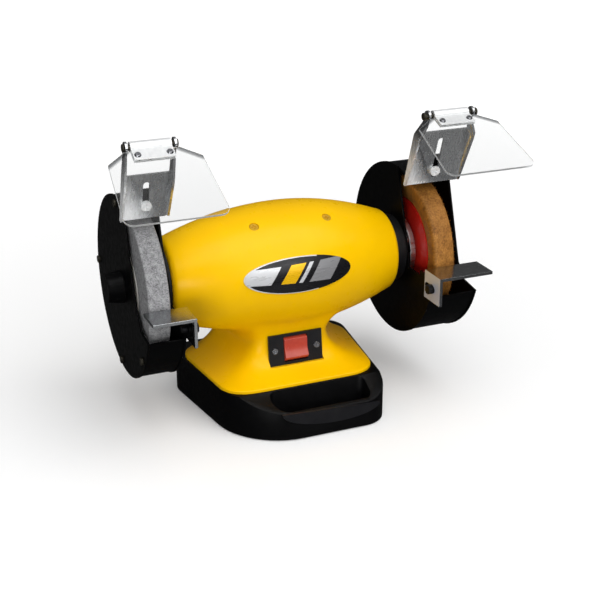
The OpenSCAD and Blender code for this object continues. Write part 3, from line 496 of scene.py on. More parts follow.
wireSet = {
    "dark": (0.17, 0.065, 0.012), "light": (0.55, 0.245, 0.05), "rough": (0.45, 0.6), "specular": 0.2,
    "streaks": 260.0, "along": 60.0, "across": 700.0, "detail": 3.0,         # noise round, out and across
    "share": 0.6, "cloud": 1.2, "bump": 0.5, "depth": 0.6,
}


def lengthOf(tree, first, second):
    squares = [doMath(tree, "POWER", value, 2.0) for value in (first, second)]
    return doMath(tree, "SQRT", doMath(tree, "ADD", *squares))


def makeWire():          # coated wire, with streaks that run out from the shaft
    material, tree, shader = startMaterial("coatedWire")
    place = axesOf(tree, objectPoint(tree, (wheelX, 0, axisZ)))
    angle = doMath(tree, "ARCTAN2", place["Y"], place["Z"])
    polar = addNode(tree, "CombineXYZ")
    for axis, value, scale in (("X", angle, wireSet["streaks"] / math.tau),
                               ("Y", lengthOf(tree, place["Y"], place["Z"]), wireSet["along"]),
                               ("Z", place["X"], wireSet["across"])):
        feed(tree, polar.inputs[axis], doMath(tree, "MULTIPLY", value, scale))
    noise = addNoise(tree, polar.outputs["Vector"], 1.0, wireSet["detail"])
    streak = mapValue(tree, noise, *noiseSpan, 0.0, 1.0)
    cloud = placeGroup(tree, grainGroup, Scale=fine(wireSet["cloud"]))
    color = twoTones(tree, weighed(tree, streak, cloud["Mask"], wireSet["share"]), wireSet)
    dressShader(tree, shader, wireSet, color, streak, noise)
    return material


stackSet = {
    "dark": (0.12, 0.12, 0.13), "light": (0.34, 0.34, 0.36), "rough": (0.4, 0.6), "metal": 0.8,
    "sheet": 0.5, "grain": 0.6, "bump": 0.3, "depth": 0.2,
}


def makeStack():         # stacked motor sheets, edges along the shaft
    material, tree, shader = startMaterial("stackedSheets")
    wave = addNode(tree, "TexWave", bands_direction="X")
    feedAll(tree, wave, {"Vector": objectPoint(tree), "Scale": fine(stackSet["sheet"]) / 2})
    edges, mask = wave.outputs["Fac"], placeGroup(tree, grainGroup, Scale=fine(stackSet["grain"]))["Mask"]
    color = twoTones(tree, doMath(tree, "MULTIPLY", edges, mask), stackSet)
    dressShader(tree, shader, stackSet, color, mask, edges)
    return material


windingSet = {
    "dark": (0.22, 0.07, 0.02), "light": (0.66, 0.28, 0.1), "rough": (0.45, 0.28), "metal": 0.7,
    "wire": 1.1, "sway": 2.0, "bump": 0.5, "depth": 0.5,
}


def makeWinding():       # varnished copper turns
    material, tree, shader = startMaterial("copperWinding")
    wave = addNode(tree, "TexWave", wave_type="RINGS", rings_direction="X")
    feedAll(tree, wave, {
        "Vector": objectPoint(tree, (0, 0, axisZ)), "Scale": fine(windingSet["wire"]) / 2,
        "Distortion": windingSet["sway"]})
    turns = wave.outputs["Fac"]
    dressShader(tree, shader, windingSet, twoTones(tree, turns, windingSet), turns, turns)
    return material


clearSet = {
    # the shoulder colour is painted shade for the cut shoulders, the rim glow a painted glow at the sawn rim
    "tint": (0.90, 0.905, 0.905), "shoulder": (0.16, 0.165, 0.17), "rimPaintedGlow": (0.22, 0.225, 0.225),
    "ior": 1.38, "rough": (0.012, 0.05), "rimRough": 0.55,
    "rub": 1.0, "rubStretch": (1, 0.2, 0.2), "rubSpan": (0.4, 1.0),
    "leans": {"left": 29.0, "right": 22.0}, "rimTurn": (0.85, 0.6), "shoulderTurn": (0.45, 0.75),
    "shoulderTop": 24, "shoulderRun": (17, 13), "band": (2.38, 4.42),        # depths between which it fades
}


def shoulderShadeBand(tree):      # painted shade: a dark band where the cut shoulders show through the sheet
    place = axesOf(tree, objectPoint(tree))
    boxes = [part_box("shield_" + side) for side in clearSet["leans"]]
    slopes = [1 / math.cos(math.radians(lean)) for lean in clearSet["leans"].values()]
    middle = bySide(tree, place["X"], *((low.x + high.x) / 2 for low, high in boxes))
    across = doMath(tree, "ABSOLUTE", doMath(tree, "SUBTRACT", place["X"], middle))
    past = doMath(tree, "SUBTRACT", across, clearSet["shoulderTop"] * mm)
    top = bySide(tree, place["X"], *(high.y for low, high in boxes))
    forward = doMath(tree, "SUBTRACT", top, place["Y"])
    down = doMath(tree, "MULTIPLY", forward, bySide(tree, place["X"], *slopes))
    run, drop = Vector(clearSet["shoulderRun"]).normalized()
    fromTop, fromSide = doMath(tree, "MULTIPLY", down, run), doMath(tree, "MULTIPLY", past, drop)
    depth = doMath(tree, "SUBTRACT", fromTop, fromSide)
    return mapValue(tree, depth, *(d * mm for d in clearSet["band"]), 1.0, 0.0)


def makeClear():         # clear sheet with faint rub marks, a sawn, frosted rim with a painted glow, and painted shade on the shoulders
    material, tree, shader = startMaterial("clearSheet")
    grain = placeGroup(tree, grainGroup, Scale=fine(clearSet["rub"]), Stretch=clearSet["rubStretch"])
    normal = addNode(tree, "TexCoord").outputs["Normal"]
    lean = math.radians(sum(clearSet["leans"].values()) / 2)
    facing = doMath(tree, "ABSOLUTE", dotWith(tree, normal, (0.0, -math.sin(lean), math.cos(lean))))
    rim = mapValue(tree, facing, *clearSet["rimTurn"], 0.0, 1.0)
    rub = mapValue(tree, grain["Mask"], *clearSet["rubSpan"], *clearSet["rough"])
    sawn = doMath(tree, "MULTIPLY", rim, clearSet["rimRough"])
    upward = dotWith(tree, normal, (0.0, math.cos(lean), math.sin(lean)))
    shoulder = mapValue(tree, upward, *clearSet["shoulderTurn"], 0.0, 1.0)
    shaded = doMath(tree, "MAXIMUM", shoulder, shoulderShadeBand(tree))
    color = mixColors(tree, shaded, (*clearSet["tint"], 1), (*clearSet["shoulder"], 1))
    lit = doMath(tree, "MULTIPLY", rim, doMath(tree, "SUBTRACT", 1.0, shoulder))
    glow = mixColors(tree, lit, (0, 0, 0, 1), (*clearSet["rimPaintedGlow"], 1))     # painted glow: light leaving at the rim, given as emission
    feedAll(tree, shader, {
        "Base Color": color, "Roughness": doMath(tree, "MAXIMUM", rub, sawn), "IOR": clearSet["ior"],
        "Transmission Weight": 1.0, "Emission Color": glow, "Emission Strength": 1.0})
    return material


badgeSet = {
    "centre": (-4, 0, 154), "half": (54, 17), "slant": 0.22, "rim": 0.955, "rimEnd": 0.35,
    "silver": (0.66, 0.67, 0.69), "grey": (0.30, 0.30, 0.31), "black": (0.008, 0.008, 0.01),
    "yellow": (0.92, 0.52, 0.0),
    "bands": ((0.0, "silver"), (0.27, "black"), (0.36, "yellow"), (0.50, "black"),
              (0.53, "silver"), (0.57, "black"), (0.63, "grey"), (0.84, "black")),
    "foot": (0.12, -0.42), "crown": (-0.1, 0.62),            # slope and height of the dark edges
    "grain": 0.4, "stretch": (0.1, 1, 1), "rough": (0.22, 0.36), "bump": 0.04, "depth": 0.2, "metal": 0.3,
}


def makeBadge():         # printed plate: plain slanted bands, silver to black, with one yellow band
    b = badgeSet
    material, tree, shader = startMaterial("badgePrint")
    place = axesOf(tree, objectPoint(tree, b["centre"]))
    across = doMath(tree, "DIVIDE", place["X"], b["half"][0] * mm)
    up = doMath(tree, "DIVIDE", place["Z"], b["half"][1] * mm)
    slant = doMath(tree, "SUBTRACT", across, doMath(tree, "MULTIPLY", up, b["slant"]))
    ramp = addNode(tree, "ValToRGB")
    ramp.color_ramp.interpolation = "CONSTANT"
    stops = ramp.color_ramp.elements
    for i, (start, tone) in enumerate(b["bands"]):
        stop = stops[i] if i < 2 else stops.new(start)       # a ramp begins with two stops
        stop.position, stop.color = start, (*b[tone], 1)
    feed(tree, ramp.inputs["Fac"], mapValue(tree, slant, -1.0, 1.0, 0.0, 1.0))
    (footSlope, footHeight), (crownSlope, crownHeight) = b["foot"], b["crown"]
    low, high = (doMath(tree, "ADD", up, doMath(tree, "MULTIPLY", across, k))
                 for k in (footSlope, crownSlope))
    foot = doMath(tree, "LESS_THAN", low, footHeight)
    crown = doMath(tree, "GREATER_THAN", high, crownHeight)
    color = mixColors(tree, doMath(tree, "MAXIMUM", foot, crown), ramp.outputs["Color"], (*b["black"], 1))
    rim = doMath(tree, "GREATER_THAN", lengthOf(tree, across, up), b["rim"])
    leftRim = doMath(tree, "MULTIPLY", rim, doMath(tree, "LESS_THAN", across, b["rimEnd"]))
    color = mixColors(tree, leftRim, color, (*b["silver"], 1))
    grain = placeGroup(tree, grainGroup, Scale=fine(b["grain"]), Stretch=b["stretch"])
    dressShader(tree, shader, b, color, grain["Mask"], grain["Height"])
    return material


for name in zincSets:
    materials[name], slotOf[name] = makeZinc(name), "zinc"
for make, slot in ((makeGrit, "abrasive"), (makeWire, "brass_wire"), (makeStack, "laminations"),
                   (makeWinding, "copper"), (makeClear, "clear"), (makeBadge, "badge")):
    made = make()
    materials[made.name], slotOf[made.name] = made, slot
print("finishes made:", len(materials))


# making pieces: every mesh is worked in mm and scaled to metres at the end

meshSet = {
    "mergeGap": 0.001, "cadGap": 0.002,          # points nearer than this become one, new and copied
    "flatTurn": 0.4,                             # degrees between copied faces that become one
    "eased": 30.0, "crisp": 35.0, "cutCrisp": 40.0,          # degrees past which an edge is eased or shows
}


def scaleAll(bm, factor):
    bmesh.ops.scale(bm, vec=(factor, factor, factor), verts=bm.verts)


def moveAll(bm, step):
    bmesh.ops.translate(bm, vec=step, verts=bm.verts)


def turnAll(bm, degrees, axis):
    turn = Matrix.Rotation(math.radians(degrees), 3, axis)
    bmesh.ops.rotate(bm, cent=(0, 0, 0), matrix=turn, verts=bm.verts)


def everything(bm):
    return bm.verts[:] + bm.edges[:] + bm.faces[:]


def onlyKind(geom, kind):
    return [g for g in geom if isinstance(g, kind)]


def raiseFaces(bm, height):      # flat faces become a block
    raised = bmesh.ops.extrude_face_region(bm, geom=bm.faces[:])["geom"]
    bmesh.ops.translate(bm, vec=(0, 0, height), verts=onlyKind(raised, bmesh.types.BMVert))
    bmesh.ops.recalc_face_normals(bm, faces=bm.faces)


def sliceOff(bm, point, outward):        # what lies beyond the plane goes, and the cut is closed
    cut = bmesh.ops.bisect_plane(bm, geom=everything(bm), plane_co=point, plane_no=outward,
                                 clear_outer=True)
    bmesh.ops.edgeloop_fill(bm, edges=onlyKind(cut["geom_cut"], bmesh.types.BMEdge))
    bmesh.ops.recalc_face_normals(bm, faces=bm.faces)


def addPiece(bm, name, body, finish, stands=(), crisp=meshSet["crisp"], recalc=True):
    bmesh.ops.remove_doubles(bm, verts=bm.verts, dist=meshSet["mergeGap"])
    if recalc:
        bmesh.ops.recalc_face_normals(bm, faces=bm.faces)
        if bm.calc_volume(signed=True) < 0:
            bmesh.ops.reverse_faces(bm, faces=bm.faces)
    scaleAll(bm, mm)
    mesh = bpy.data.meshes.new(name)
    bm.to_mesh(mesh)
    bm.free()
    piece = bpy.data.objects.new(name, mesh)
    scene.collection.objects.link(piece)
    return dressPiece(piece, body, finish, stands, crisp)


def dressPiece(piece, body, finish, stands, crisp):
    mesh = piece.data
    mesh.materials.clear()
    mesh.materials.append(materials[finish])
    mesh.shade_smooth()
    mesh.set_sharp_from_angle(angle=math.radians(crisp))
    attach(piece, body)
    if stands:
        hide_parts(*stands)
    return piece


def bakeModifiers(piece):        # what the modifiers show becomes the mesh
    shown = piece.evaluated_get(bpy.context.evaluated_depsgraph_get())
    mesh = bpy.data.meshes.new_from_object(shown)
    piece.modifiers.clear()
    piece.data = mesh


def cutWith(piece, bm):          # boolean cut with a shape in mm
    bmesh.ops.recalc_face_normals(bm, faces=bm.faces)
    scaleAll(bm, mm)
    mesh = bpy.data.meshes.new("cutter")
    bm.to_mesh(mesh)
    bm.free()
    cutter = bpy.data.objects.new("cutter", mesh)
    scene.collection.objects.link(cutter)
    cut = piece.modifiers.new("cut", "BOOLEAN")
    cut.operation, cut.solver, cut.object = "DIFFERENCE", "EXACT", cutter
    bpy.context.view_layer.update()
    bakeModifiers(piece)
    bpy.data.objects.remove(cutter)


def bevelEdges(bm, edges, width, segments=2):
    bmesh.ops.bevel(bm, geom=edges, offset=width, offset_type="OFFSET", segments=segments, profile=0.5,
                    affect="EDGES", clamp_overlap=True, material=-1)


def sharpEdges(bm, limit=meshSet["eased"]):
    return [e for e in bm.edges if e.is_manifold and e.calc_face_angle() > math.radians(limit)]


def boxShape(bm, low, high):
    made = bmesh.ops.create_cube(bm, size=1.0)["verts"]
    bmesh.ops.scale(bm, vec=Vector(high) - Vector(low), verts=made)
    bmesh.ops.translate(bm, vec=(Vector(low) + Vector(high)) / 2, verts=made)


def spinProfile(points, steps, centre=(0, 0, axisZ)):        # points are (x, radius)
    bm = bmesh.new()
    chain = [bm.verts.new((centre[0] + x, centre[1], centre[2] + r)) for x, r in points]
    for a, b in zip(chain, chain[1:]):
        bm.edges.new((a, b))
    bmesh.ops.spin(bm, geom=bm.verts[:] + bm.edges[:], cent=centre, axis=(1, 0, 0), angle=math.tau,
                   steps=steps, use_merge=True)
    return bm


def nodeCopy(node):
    bm = bmesh.new()
    bm.from_mesh(frame["nodes"][node].data)
    scaleAll(bm, 1 / mm)
    bmesh.ops.remove_doubles(bm, verts=bm.verts, dist=meshSet["cadGap"])
    flat = math.radians(meshSet["flatTurn"])
    bmesh.ops.dissolve_limit(bm, angle_limit=flat, verts=bm.verts, edges=bm.edges)
    return bm


def softNode(node, finish, width):       # a CAD node with its edges eased
    bm = nodeCopy(node)
    bevelEdges(bm, sharpEdges(bm), width)
    first, *rest = node.split("_")
    name, body = first + "".join(word.capitalize() for word in rest), frame["nodes"][node]["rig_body"]
    piece = addPiece(bm, name, body, finish, (node,), meshSet["cutCrisp"], recalc=False)
    piece.modifiers.new("weighted", "WEIGHTED_NORMAL").keep_sharp = True


# housing: turned barrel, opened below and drawn down into the pedestal

housing = {
    "midRadius": 62.5, "endRadius": 42.0, "ends": {-1: 120.0, 1: 113.0}, "endRound": 7.0, "boreRadius": 32.0,
    "steps": 60, "spans": 6, "roundTurns": (30, 60, 90), "smoothing": 2, "wall": 3.0,
    "holeHalf": 54.0, "holeFront": -42.0, "holeBack": 54.0, "holeShare": 0.96, "fillet": 9.0,
    "neck": (36.0, 55.0, -34.5, 46.0, 11.0),         # half widths front and back, y front and back, corner
    "foot": (77.0, 91.0, -66.0, 61.0, 26.0), "flare": (4.0, 2.6, 6.0, 2.6, 2.6),
    "neckZ": 97.5, "rimZ": 45.0, "rimEdge": 0.9, "baseZ": 42.0, "rings": 10, "ringFlare": 1.5,
    "switch": (1.0, -37.0, 69.0), "switchLean": -7.0, "switchSize": (56.0, 31.0), "switchGap": 0.15,
    "switchOut": 30.0, "switchBore": ((-14.5, -6.0, -14.5), (14.5, 20.0, 14.5)),
    "screwX": 37.0, "screwTurn": 30.0, "screwWell": 4.6, "wellDeep": 12.0, "wellUp": 3.0, "wellSteps": 40,
}


def barrelFlat(x):       # where the round of that end starts
    return housing["ends"][-1 if x < 0 else 1] - housing["endRound"]


def barrelRadius(x):
    return housing["midRadius"] - (housing["midRadius"] - housing["endRadius"]) * (x / barrelFlat(x)) ** 2


def mixed(a, b, k):
    return a + (b - a) * k


def roundedPoint(side, t, wide):         # a point on a rounded four-sided outline, side 0 is the front
    wf, wb, yf, yb, r = wide
    points = [Vector(p) for p in ((-wf, yf), (wf, yf), (wb, yb), (-wb, yb))]

    def corner(i):
        p = points[i]
        u, v = ((points[k % 4] - p).normalized() for k in (i - 1, i + 1))
        half = u.angle(v) / 2
        centre, reach = p + (u + v).normalized() * r / math.sin(half), r / math.tan(half)
        return centre, p + u * reach, p + v * reach, math.pi / 2 - half

    c0, _, start, turn0 = corner(side)
    c1, finish, _, turn1 = corner((side + 1) % 4)
    along = (finish - start).length
    s = t * (turn0 * r + along + turn1 * r)
    if s < turn0 * r:
        return c0 + Matrix.Rotation(s / r - turn0, 2) @ (start - c0)
    if s > turn0 * r + along:
        return c1 + Matrix.Rotation((s - turn0 * r - along) / r, 2) @ (finish - c1)
    return start.lerp(finish, (s - turn0 * r) / along)


def pedestalWide(z):
    t = min(1.0, max(0.0, (z - housing["rimZ"]) / (housing["neckZ"] - housing["rimZ"])))
    return [mixed(n, f, (1 - t) ** p) for n, f, p in zip(housing["neck"], housing["foot"], housing["flare"])]


def turnOf(point):
    return math.degrees(math.atan2(point.y, axisZ - point.z))


def barrelEnd(side):     # outline from the opening to the bore at one end
    h, flat, r = housing, barrelFlat(side), housing["endRound"]
    places = [mixed(h["holeHalf"], flat, (i + 1) / h["spans"]) for i in range(h["spans"])]
    points = [(x, barrelRadius(side * x)) for x in places]
    for a in map(math.radians, h["roundTurns"]):
        points.append((flat + r * math.sin(a), h["endRadius"] - r * (1 - math.cos(a))))
    points.append((h["ends"][side], h["boreRadius"]))
    return [(side * x, -r) for x, r in points]


def startBarrel():       # turned, then opened below; gives the edges round the opening
    h = housing
    places = [h["holeHalf"] * i / h["spans"] for i in range(-h["spans"], h["spans"] + 1)]
    middle = [(x, -barrelRadius(x)) for x in places]
    bm = spinProfile(barrelEnd(-1)[::-1] + middle + barrelEnd(1), h["steps"])
    opened = [f for f in bm.faces if abs(f.calc_center_median().x) < h["holeHalf"]
              and h["holeFront"] < turnOf(f.calc_center_median()) < h["holeBack"]]
    bmesh.ops.delete(bm, geom=opened, context="FACES")
    edges = [e for e in bm.edges if len(e.link_faces) == 1]
    return bm, [e for e in edges if all(abs(v.co.x) < barrelFlat(v.co.x) for v in e.verts)]


def pedestalPlaces(loop):        # where each point of the opening goes on the pedestal
    h, place = housing, {}
    for v in {v for e in loop for v in e.verts}:
        across = (v.co.x / h["holeHalf"] + 1) / 2
        deep = (turnOf(v.co) - h["holeFront"]) / (h["holeBack"] - h["holeFront"])
        sides = {0: (deep, across), 1: (1 - across, deep), 2: (1 - deep, 1 - across), 3: (across, 1 - deep)}
        side = min(sides, key=lambda k: abs(sides[k][0]))
        place[v] = (side, sides[side][1])
    return place


def widenOpening(bm):            # slides the rings so that the opening widens to the back
    h = housing
    wf, wb, yf, yb, _ = h["neck"]
    for v in bm.verts:
        x, turn, flat = abs(v.co.x), turnOf(v.co), barrelFlat(v.co.x)
        if x > flat + 0.01:
            continue
        edge = min(max(turn, h["holeFront"]), h["holeBack"])
        y = h["midRadius"] * h["holeShare"] * math.sin(math.radians(edge))
        half = mixed(wf, wb, (y - yf) / (yb - yf)) + h["fillet"]
        ease = abs(turn - edge) / (180 - abs(edge))
        half = mixed(half, h["holeHalf"], ease * ease * (3 - 2 * ease))
        new = x * half / h["holeHalf"]
        if x > h["holeHalf"]:
            new = half + (x - h["holeHalf"]) * (flat - half) / (flat - h["holeHalf"])
        new = math.copysign(new, v.co.x)
        r, a = barrelRadius(new), math.radians(turn)
        v.co = (new, r * math.sin(a), axisZ - r * math.cos(a))


def pullPedestal(bm, loop, place):       # rings drawn down from the opening to the foot
    h, top = housing, {}
    for side, t in place.values():
        z = h["neckZ"]
        for _ in range(3):       # the height and the outline settle together
            p = roundedPoint(side, t, pedestalWide(z))
            z = axisZ - math.sqrt(barrelRadius(p.x) ** 2 - p.y ** 2) - h["fillet"]
        top[(side, t)] = z
    for ring in range(h["rings"] + 3):
        grown = bmesh.ops.extrude_edge_only(bm, edges=loop)["geom"]
        moved = {}
        for v in onlyKind(grown, bmesh.types.BMVert):
            old = next(e.other_vert(v) for e in v.link_edges if e.other_vert(v) in place)
            side, t = place[old]
            share = min(1.0, ring / h["rings"])
            z = mixed(top[(side, t)], h["rimZ"], 1 - (1 - share) ** h["ringFlare"])
            if ring > h["rings"]:
                z = h["rimZ"] - h["rimEdge"] if ring == h["rings"] + 1 else h["baseZ"]
            p = roundedPoint(side, t, pedestalWide(z))
            v.co = (p.x, p.y, z)
            moved[v] = (side, t)
        place = moved
        loop = [e for e in onlyKind(grown, bmesh.types.BMEdge) if all(v in moved for v in e.verts)]


def cutSwitch(piece):            # place of the frame, and the bore of the switch behind it
    h = housing
    wide, tall = (size / 2 + h["switchGap"] for size in h["switchSize"])
    for low, high in (((-wide, -h["switchOut"], -tall), (wide, 0, tall)), h["switchBore"]):
        cutter = bmesh.new()
        boxShape(cutter, low, high)
        turnAll(cutter, h["switchLean"], "X")
        moveAll(cutter, h["switch"])
        cutWith(piece, cutter)


def cutScrewWells(piece):
    h = housing
    for side in (-1, 1):
        cutter = bmesh.new()
        bmesh.ops.create_cone(cutter, cap_ends=True, segments=h["wellSteps"], depth=h["wellDeep"],
                              radius1=h["screwWell"], radius2=h["screwWell"])
        moveAll(cutter, (0, 0, barrelRadius(side * h["screwX"]) + h["wellUp"]))
        turnAll(cutter, h["screwTurn"], "X")
        moveAll(cutter, (side * h["screwX"], 0, axisZ))
        cutWith(piece, cutter)


def makeHousing():
    bm, loop = startBarrel()
    place = pedestalPlaces(loop)
    widenOpening(bm)
    pullPedestal(bm, loop, place)
    piece = addPiece(bm, "housingShell", "frame", "yellowPaint", ("housing",))
    smooth = piece.modifiers.new("smooth", "SUBSURF")
    smooth.levels = smooth.render_levels = housing["smoothing"]
    wall = piece.modifiers.new("wall", "SOLIDIFY")
    wall.thickness, wall.offset = housing["wall"] * mm, -1.0
    bpy.context.view_layer.update()
    bakeModifiers(piece)
    cutSwitch(piece)
    cutScrewWells(piece)
    dressPiece(piece, "frame", "yellowPaint", ("housing",), meshSet["cutCrisp"])


makeHousing()
print("housing made")


# base: rounded block with a sloped front, a parts tray and a hollow below

plinth = {
    "front": 76.0, "back": 97.0, "near": -96.0, "far": 76.0,
    "corners": (66.0, 26.0, 26.0, 26.0), "cornerSteps": 12,
    "leftCut": 4.0, "low": 1.0, "high": 42.0, "slopeTop": -67.0, "slopeLow": 27.0,
    "edge": (2.6, 3), "edgeTurn": 22.0,          # width and steps of the rounding, and the bend that gets it
    "tray": ((-40.0, -92.0, 13.0), (60.0, -68.0, 60.0)),
    "trayCorner": (7.0, 6), "trayLeftCorner": (16.0, 8), "trayFloor": (3.0, 4),
    "trayRim": (0.8, 2), "rimTurn": 25.0, "rimAbove": 20.0, "rimBefore": -66.0,
    "recessIn": 4.5, "recessLow": -2.0, "recessTop": 5.0,
    "hollowIn": 12.0, "hollowNear": -58.0, "hollowLow": 4.0, "hollowTop": 38.0,
    "lipTop": ((-36.0, 30.0), (66.0, 25.0)), "lipDeep": 15.0, "lipOut": 1.0, "lipSunk": 1.0, "lipSteps": 64,
    "lipEdge": (0.6, 2), "lipTurn": 50.0,
}


def slabShape(inset, low, high):         # the base's outline pulled in, as a block
    p = plinth
    wf, wb, yf, yb = p["front"] - inset, p["back"] - inset, p["near"] + inset, p["far"] - inset
    bm = bmesh.new()
    ends = ((-wf + p["leftCut"], yf), (wf, yf), (wb, yb), (-wb, yb))
    corners = [bm.verts.new((x, y, low)) for x, y in ends]
    bm.faces.new(corners)
    sides = [[corners[k % 4].co - c.co for k in (i - 1, i + 1)] for i, c in enumerate(corners)]
    halves = [u.angle(v) / 2 for u, v in sides]
    for c, half, r in zip(corners, halves, p["corners"]):
        bmesh.ops.bevel(bm, geom=[c], offset=(r - inset) / math.tan(half), offset_type="OFFSET",
                        segments=p["cornerSteps"], profile=0.5, affect="VERTICES", material=-1)
    raiseFaces(bm, high - low)
    return bm


def cutTray(piece):
    p, cutter = plinth, bmesh.new()
    boxShape(cutter, *p["tray"])
    upright = [e for e in cutter.edges if abs(e.verts[0].co.z - e.verts[1].co.z) > 1]
    leftFront = min(upright, key=lambda e: e.verts[0].co.x + e.verts[0].co.y)
    upright.remove(leftFront)
    bevelEdges(cutter, [leftFront], *p["trayLeftCorner"])
    bevelEdges(cutter, upright, *p["trayCorner"])
    floorZ = p["tray"][0][2]
    low = [e for e in cutter.edges if all(v.co.z < floorZ + 0.1 for v in e.verts)]
    bevelEdges(cutter, low, *p["trayFloor"])
    cutWith(piece, cutter)


def makePlinth():
    p = plinth
    bm = slabShape(0.0, p["low"], p["high"])
    rise, run = p["high"] - p["slopeLow"], p["slopeTop"] - p["near"]
    sliceOff(bm, (0, p["slopeTop"], p["high"]), (0, -rise, run))
    bevelEdges(bm, sharpEdges(bm, p["edgeTurn"]), *p["edge"])
    middle = sum(end[0] for end in p["tray"]) / 2        # a seam here, so no face gets the tray as a hole in it
    bmesh.ops.bisect_plane(bm, geom=everything(bm), plane_co=(middle, 0, 0), plane_no=(1, 0, 0))
    piece = addPiece(bm, "plinthBlock", "frame", "blackPlastic", ("plinth",))
    cutTray(piece)
    cutWith(piece, slabShape(p["recessIn"], p["recessLow"], p["recessTop"]))
    hollow = slabShape(p["hollowIn"], p["hollowLow"], p["hollowTop"])
    sliceOff(hollow, (0, p["hollowNear"], 0), (0, -1, 0))
    cutWith(piece, hollow)
    bm = bmesh.new()
    bm.from_mesh(piece.data)
    scaleAll(bm, 1 / mm)
    rim = [e for e in sharpEdges(bm, p["rimTurn"])
           if all(v.co.z > p["rimAbove"] and v.co.y < p["rimBefore"] for v in e.verts)]
    bevelEdges(bm, rim, *p["trayRim"])
    scaleAll(bm, mm)
    bm.to_mesh(piece.data)
    bm.free()
    dressPiece(piece, "frame", "blackPlastic", ("plinth",), meshSet["cutCrisp"])


def makeLip():           # raised crescent under the tray, in the lighter switch plastic as a painted highlight
    p = plinth
    (x0, z0), (x1, z1) = p["lipTop"]
    bm = bmesh.new()
    bmesh.ops.create_circle(bm, cap_ends=True, segments=p["lipSteps"], radius=1.0)
    bmesh.ops.bisect_plane(bm, geom=everything(bm), plane_co=(0, 0, 0), plane_no=(0, 1, 0), clear_outer=True)
    bmesh.ops.scale(bm, vec=((x1 - x0) / 2, p["lipDeep"], 1), verts=bm.verts)
    raiseFaces(bm, p["lipOut"] + p["lipSunk"])
    bevelEdges(bm, sharpEdges(bm, p["lipTurn"]), *p["lipEdge"])
    turnAll(bm, 90, "X")
    turnAll(bm, math.degrees(math.atan2(z0 - z1, x1 - x0)), "Y")
    moveAll(bm, ((x0 + x1) / 2, p["near"] + p["lipSunk"], (z0 + z1) / 2))
    addPiece(bm, "plinthLip", "frame", "switchPlastic")


makePlinth()
makeLip()
print("base made")


# wheels

stone = {"half": 10.0, "radius": 75.0, "rings": (16.0, 30.0, 52.0), "edge": 0.8, "steps": 144}


def makeStone():
    s = stone
    half, r, e = s["half"], s["radius"], s["edge"]
    side = [*((half, ring) for ring in s["rings"]), (half, r - e), (half - e, r)]
    points = [(-x, y) for x, y in side] + side[::-1]
    bm = spinProfile(points + points[:1], s["steps"], (-wheelX, 0, axisZ))
    addPiece(bm, "grindingStone", "rotor", "bondedGrit", ("grinding_wheel",))


bristles = {
    "seed": 7, "sectors": 15, "strands": 420, "thick": 0.17, "tipThick": 0.7, "joints": 3, "sides": 3,
    "rootRadius": 47.0, "tipRadius": 74.7, "rootHalf": 4.6, "tipHalf": 11.65,
    "tipSpread": 0.7, "tipRound": 0.8,
    "lean": 0.012, "skew": 0.25, "crimp": 0.55, "crimpTurn": 5.2, "crimpAside": 0.4, "phases": 6.28,
    "rootShare": 0.12, "bendShare": 0.25, "crisp": 80.0, "coreSteps": 120,
    "core": [(47.0, 5.0), (54.0, 6.9), (62.0, 9.1), (68.0, 10.6), (70.6, 10.9), (72.1, 10.5), (73.2, 9.4),
             (73.6, 7.9)],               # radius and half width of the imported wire
}


def strandPoints(rng, sector):       # one crimped strand, from its root to its tip
    b, root, last = bristles, bristles["rootRadius"], bristles["joints"]
    turn, side = rng.uniform(0, sector), rng.uniform(-1, 1)
    tip = b["tipRadius"] - abs(rng.gauss(0, b["tipSpread"])) - b["tipRound"] * side * side
    lean, skew = rng.gauss(0, b["lean"]), rng.gauss(0, b["skew"])
    phase = rng.uniform(0, b["phases"])
    points = []
    for k in range(last + 1):
        share = k / last
        r = mixed(root, tip, mixed(b["bendShare"], 1.0, share) if k else b["rootShare"])
        wave = b["crimp"] * math.sin(phase + b["crimpTurn"] * share)
        a = turn + lean * share + wave / r
        half = mixed(b["rootHalf"], b["tipHalf"], (r - root) / (b["tipRadius"] - root))
        x = max(-half, min(half, side * half + skew * share + b["crimpAside"] * wave))
        points.append(Vector((wheelX + x, r * math.sin(a), axisZ + r * math.cos(a))))
    return points


def addStrand(bm, points):           # a thin tube, closed at the tip
    last, ring = len(points) - 1, []
    for k, point in enumerate(points):
        along = (points[min(k + 1, last)] - points[max(k - 1, 0)]).normalized()
        turnTo = along.to_track_quat("Z", "Y").to_matrix().to_4x4()
        radius = bristles["thick"] * (1.0 if k < last else bristles["tipThick"])
        made = bmesh.ops.create_circle(bm, cap_ends=False, segments=bristles["sides"], radius=radius,
                                       matrix=Matrix.Translation(point) @ turnTo)["verts"]
        edges = list({e for v in made for e in v.link_edges})
        if ring:
            bmesh.ops.bridge_loops(bm, edges=ring + edges)
        ring = edges
    bmesh.ops.contextual_create(bm, geom=ring)


def makeBristles():
    b = bristles
    rng = random.Random(b["seed"])
    bm = bmesh.new()
    sector = math.tau / b["sectors"]
    for _ in range(b["strands"]):
        addStrand(bm, strandPoints(rng, sector))
    bmesh.ops.recalc_face_normals(bm, faces=bm.faces)
    bmesh.ops.spin(bm, geom=everything(bm), cent=(wheelX, 0, axisZ), axis=(1, 0, 0),
                   angle=math.tau - sector, steps=b["sectors"] - 1, use_duplicate=True)
    addPiece(bm, "wireStrands", "rotor", "coatedWire", crisp=b["crisp"], recalc=False)
    points = [(half, r) for r, half in b["core"]] + [(-half, r) for r, half in reversed(b["core"])]
    core = spinProfile(points + points[:1], b["coreSteps"], (wheelX, 0, axisZ))
    addPiece(core, "packedWire", "rotor", "coatedWire", ("wire_bristles",))


makeStone()
makeBristles()
print("wheels made")


# sheet metal, fasteners and the rest: the CAD forms with their edges eased

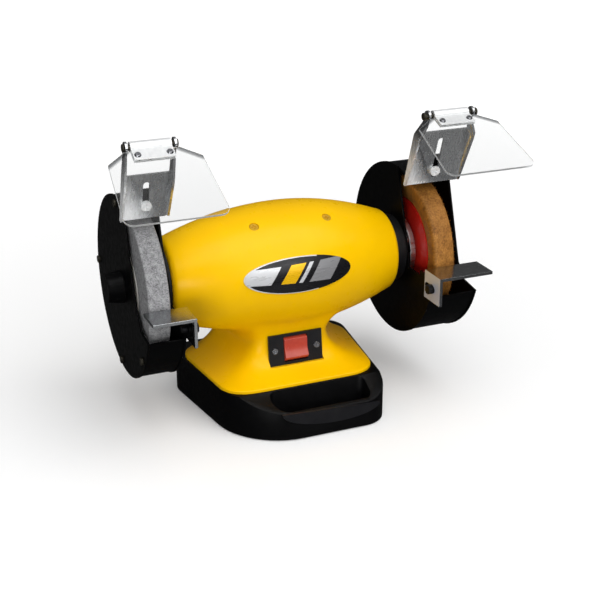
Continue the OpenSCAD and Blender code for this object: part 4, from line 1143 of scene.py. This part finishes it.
easedNodes = {
    "blackPaint": {"guard_left": 0.5, "guard_right": 0.5, "cover_left": 0.7, "cover_right": 0.7},
    "zincSheet": {"bracket_left": 0.35, "bracket_right": 0.35},
    "zincRest": {"rest_left": 0.4, "rest_right": 0.4},
    "zincClip": {"shield_clip_left": 0.35, "shield_clip_right": 0.35},
    "paintedGlintScrew": {"bracket_screws": 0.3},
    "amberScrew": {"housing_screws": 0.25},
    "darkScrew": {"cover_screws": 0.25, "hinge_rod_left": 0.4, "hinge_rod_right": 0.4},
    "screwSteel": {"guard_screws": 0.25, "switch_screws": 0.2, "bell_screws": 0.25, "plate_screws": 0.25,
                   "shield_rivets_left": 0.3, "shield_rivets_right": 0.3},
    "darkCast": {"end_bells": 0.5, "rest_knob_left": 0.3, "rest_knob_right": 0.3},
    "switchPlastic": {"switch_frame": 0.5},
    "blackPlastic": {"cord_gland": 0.5},
    "rockerRed": {"rocker": 0.6},
    "redPaint": {"wire_plates": 0.4},
    "machinedSteel": {"wheel_flanges": 0.4, "arbor_nuts": 0.5, "wire_hub": 0.3, "shaft": 0.4},
    "clearSheet": {"shield_left": 0.6, "shield_right": 0.6},
    "rubber": {"rubber_feet": 0.6},
    "badgePrint": {"badge_plate": 0.2},
}
plainNodes = {
    "sheetSteel": ("bottom_plate", "capacitor_clip", "preload_washer"),
    "stackedSheets": ("stator_core", "rotor_core"),
    "copperWinding": ("stator_windings",),
    "capacitorCan": ("capacitor",),
    "terminalCream": ("terminal_block",),
    "wireBlue": ("lead_wires",),
    "switchPlastic": ("switch_body", "cooling_fan"),
    "machinedSteel": ("outer_races", "inner_races"),
    "rotorCast": ("rotor_rings", "ball_cages"),
    "blotterPaper": ("paper_blotters",),
}

for finish, nodes in easedNodes.items():
    for node, width in nodes.items():
        softNode(node, finish, width)
for finish, nodes in plainNodes.items():
    for node in nodes:
        mesh = frame["nodes"][node].data
        mesh.materials.clear()
        mesh.materials.append(materials[finish])
print("other pieces dressed")

bpy.context.view_layer.update()
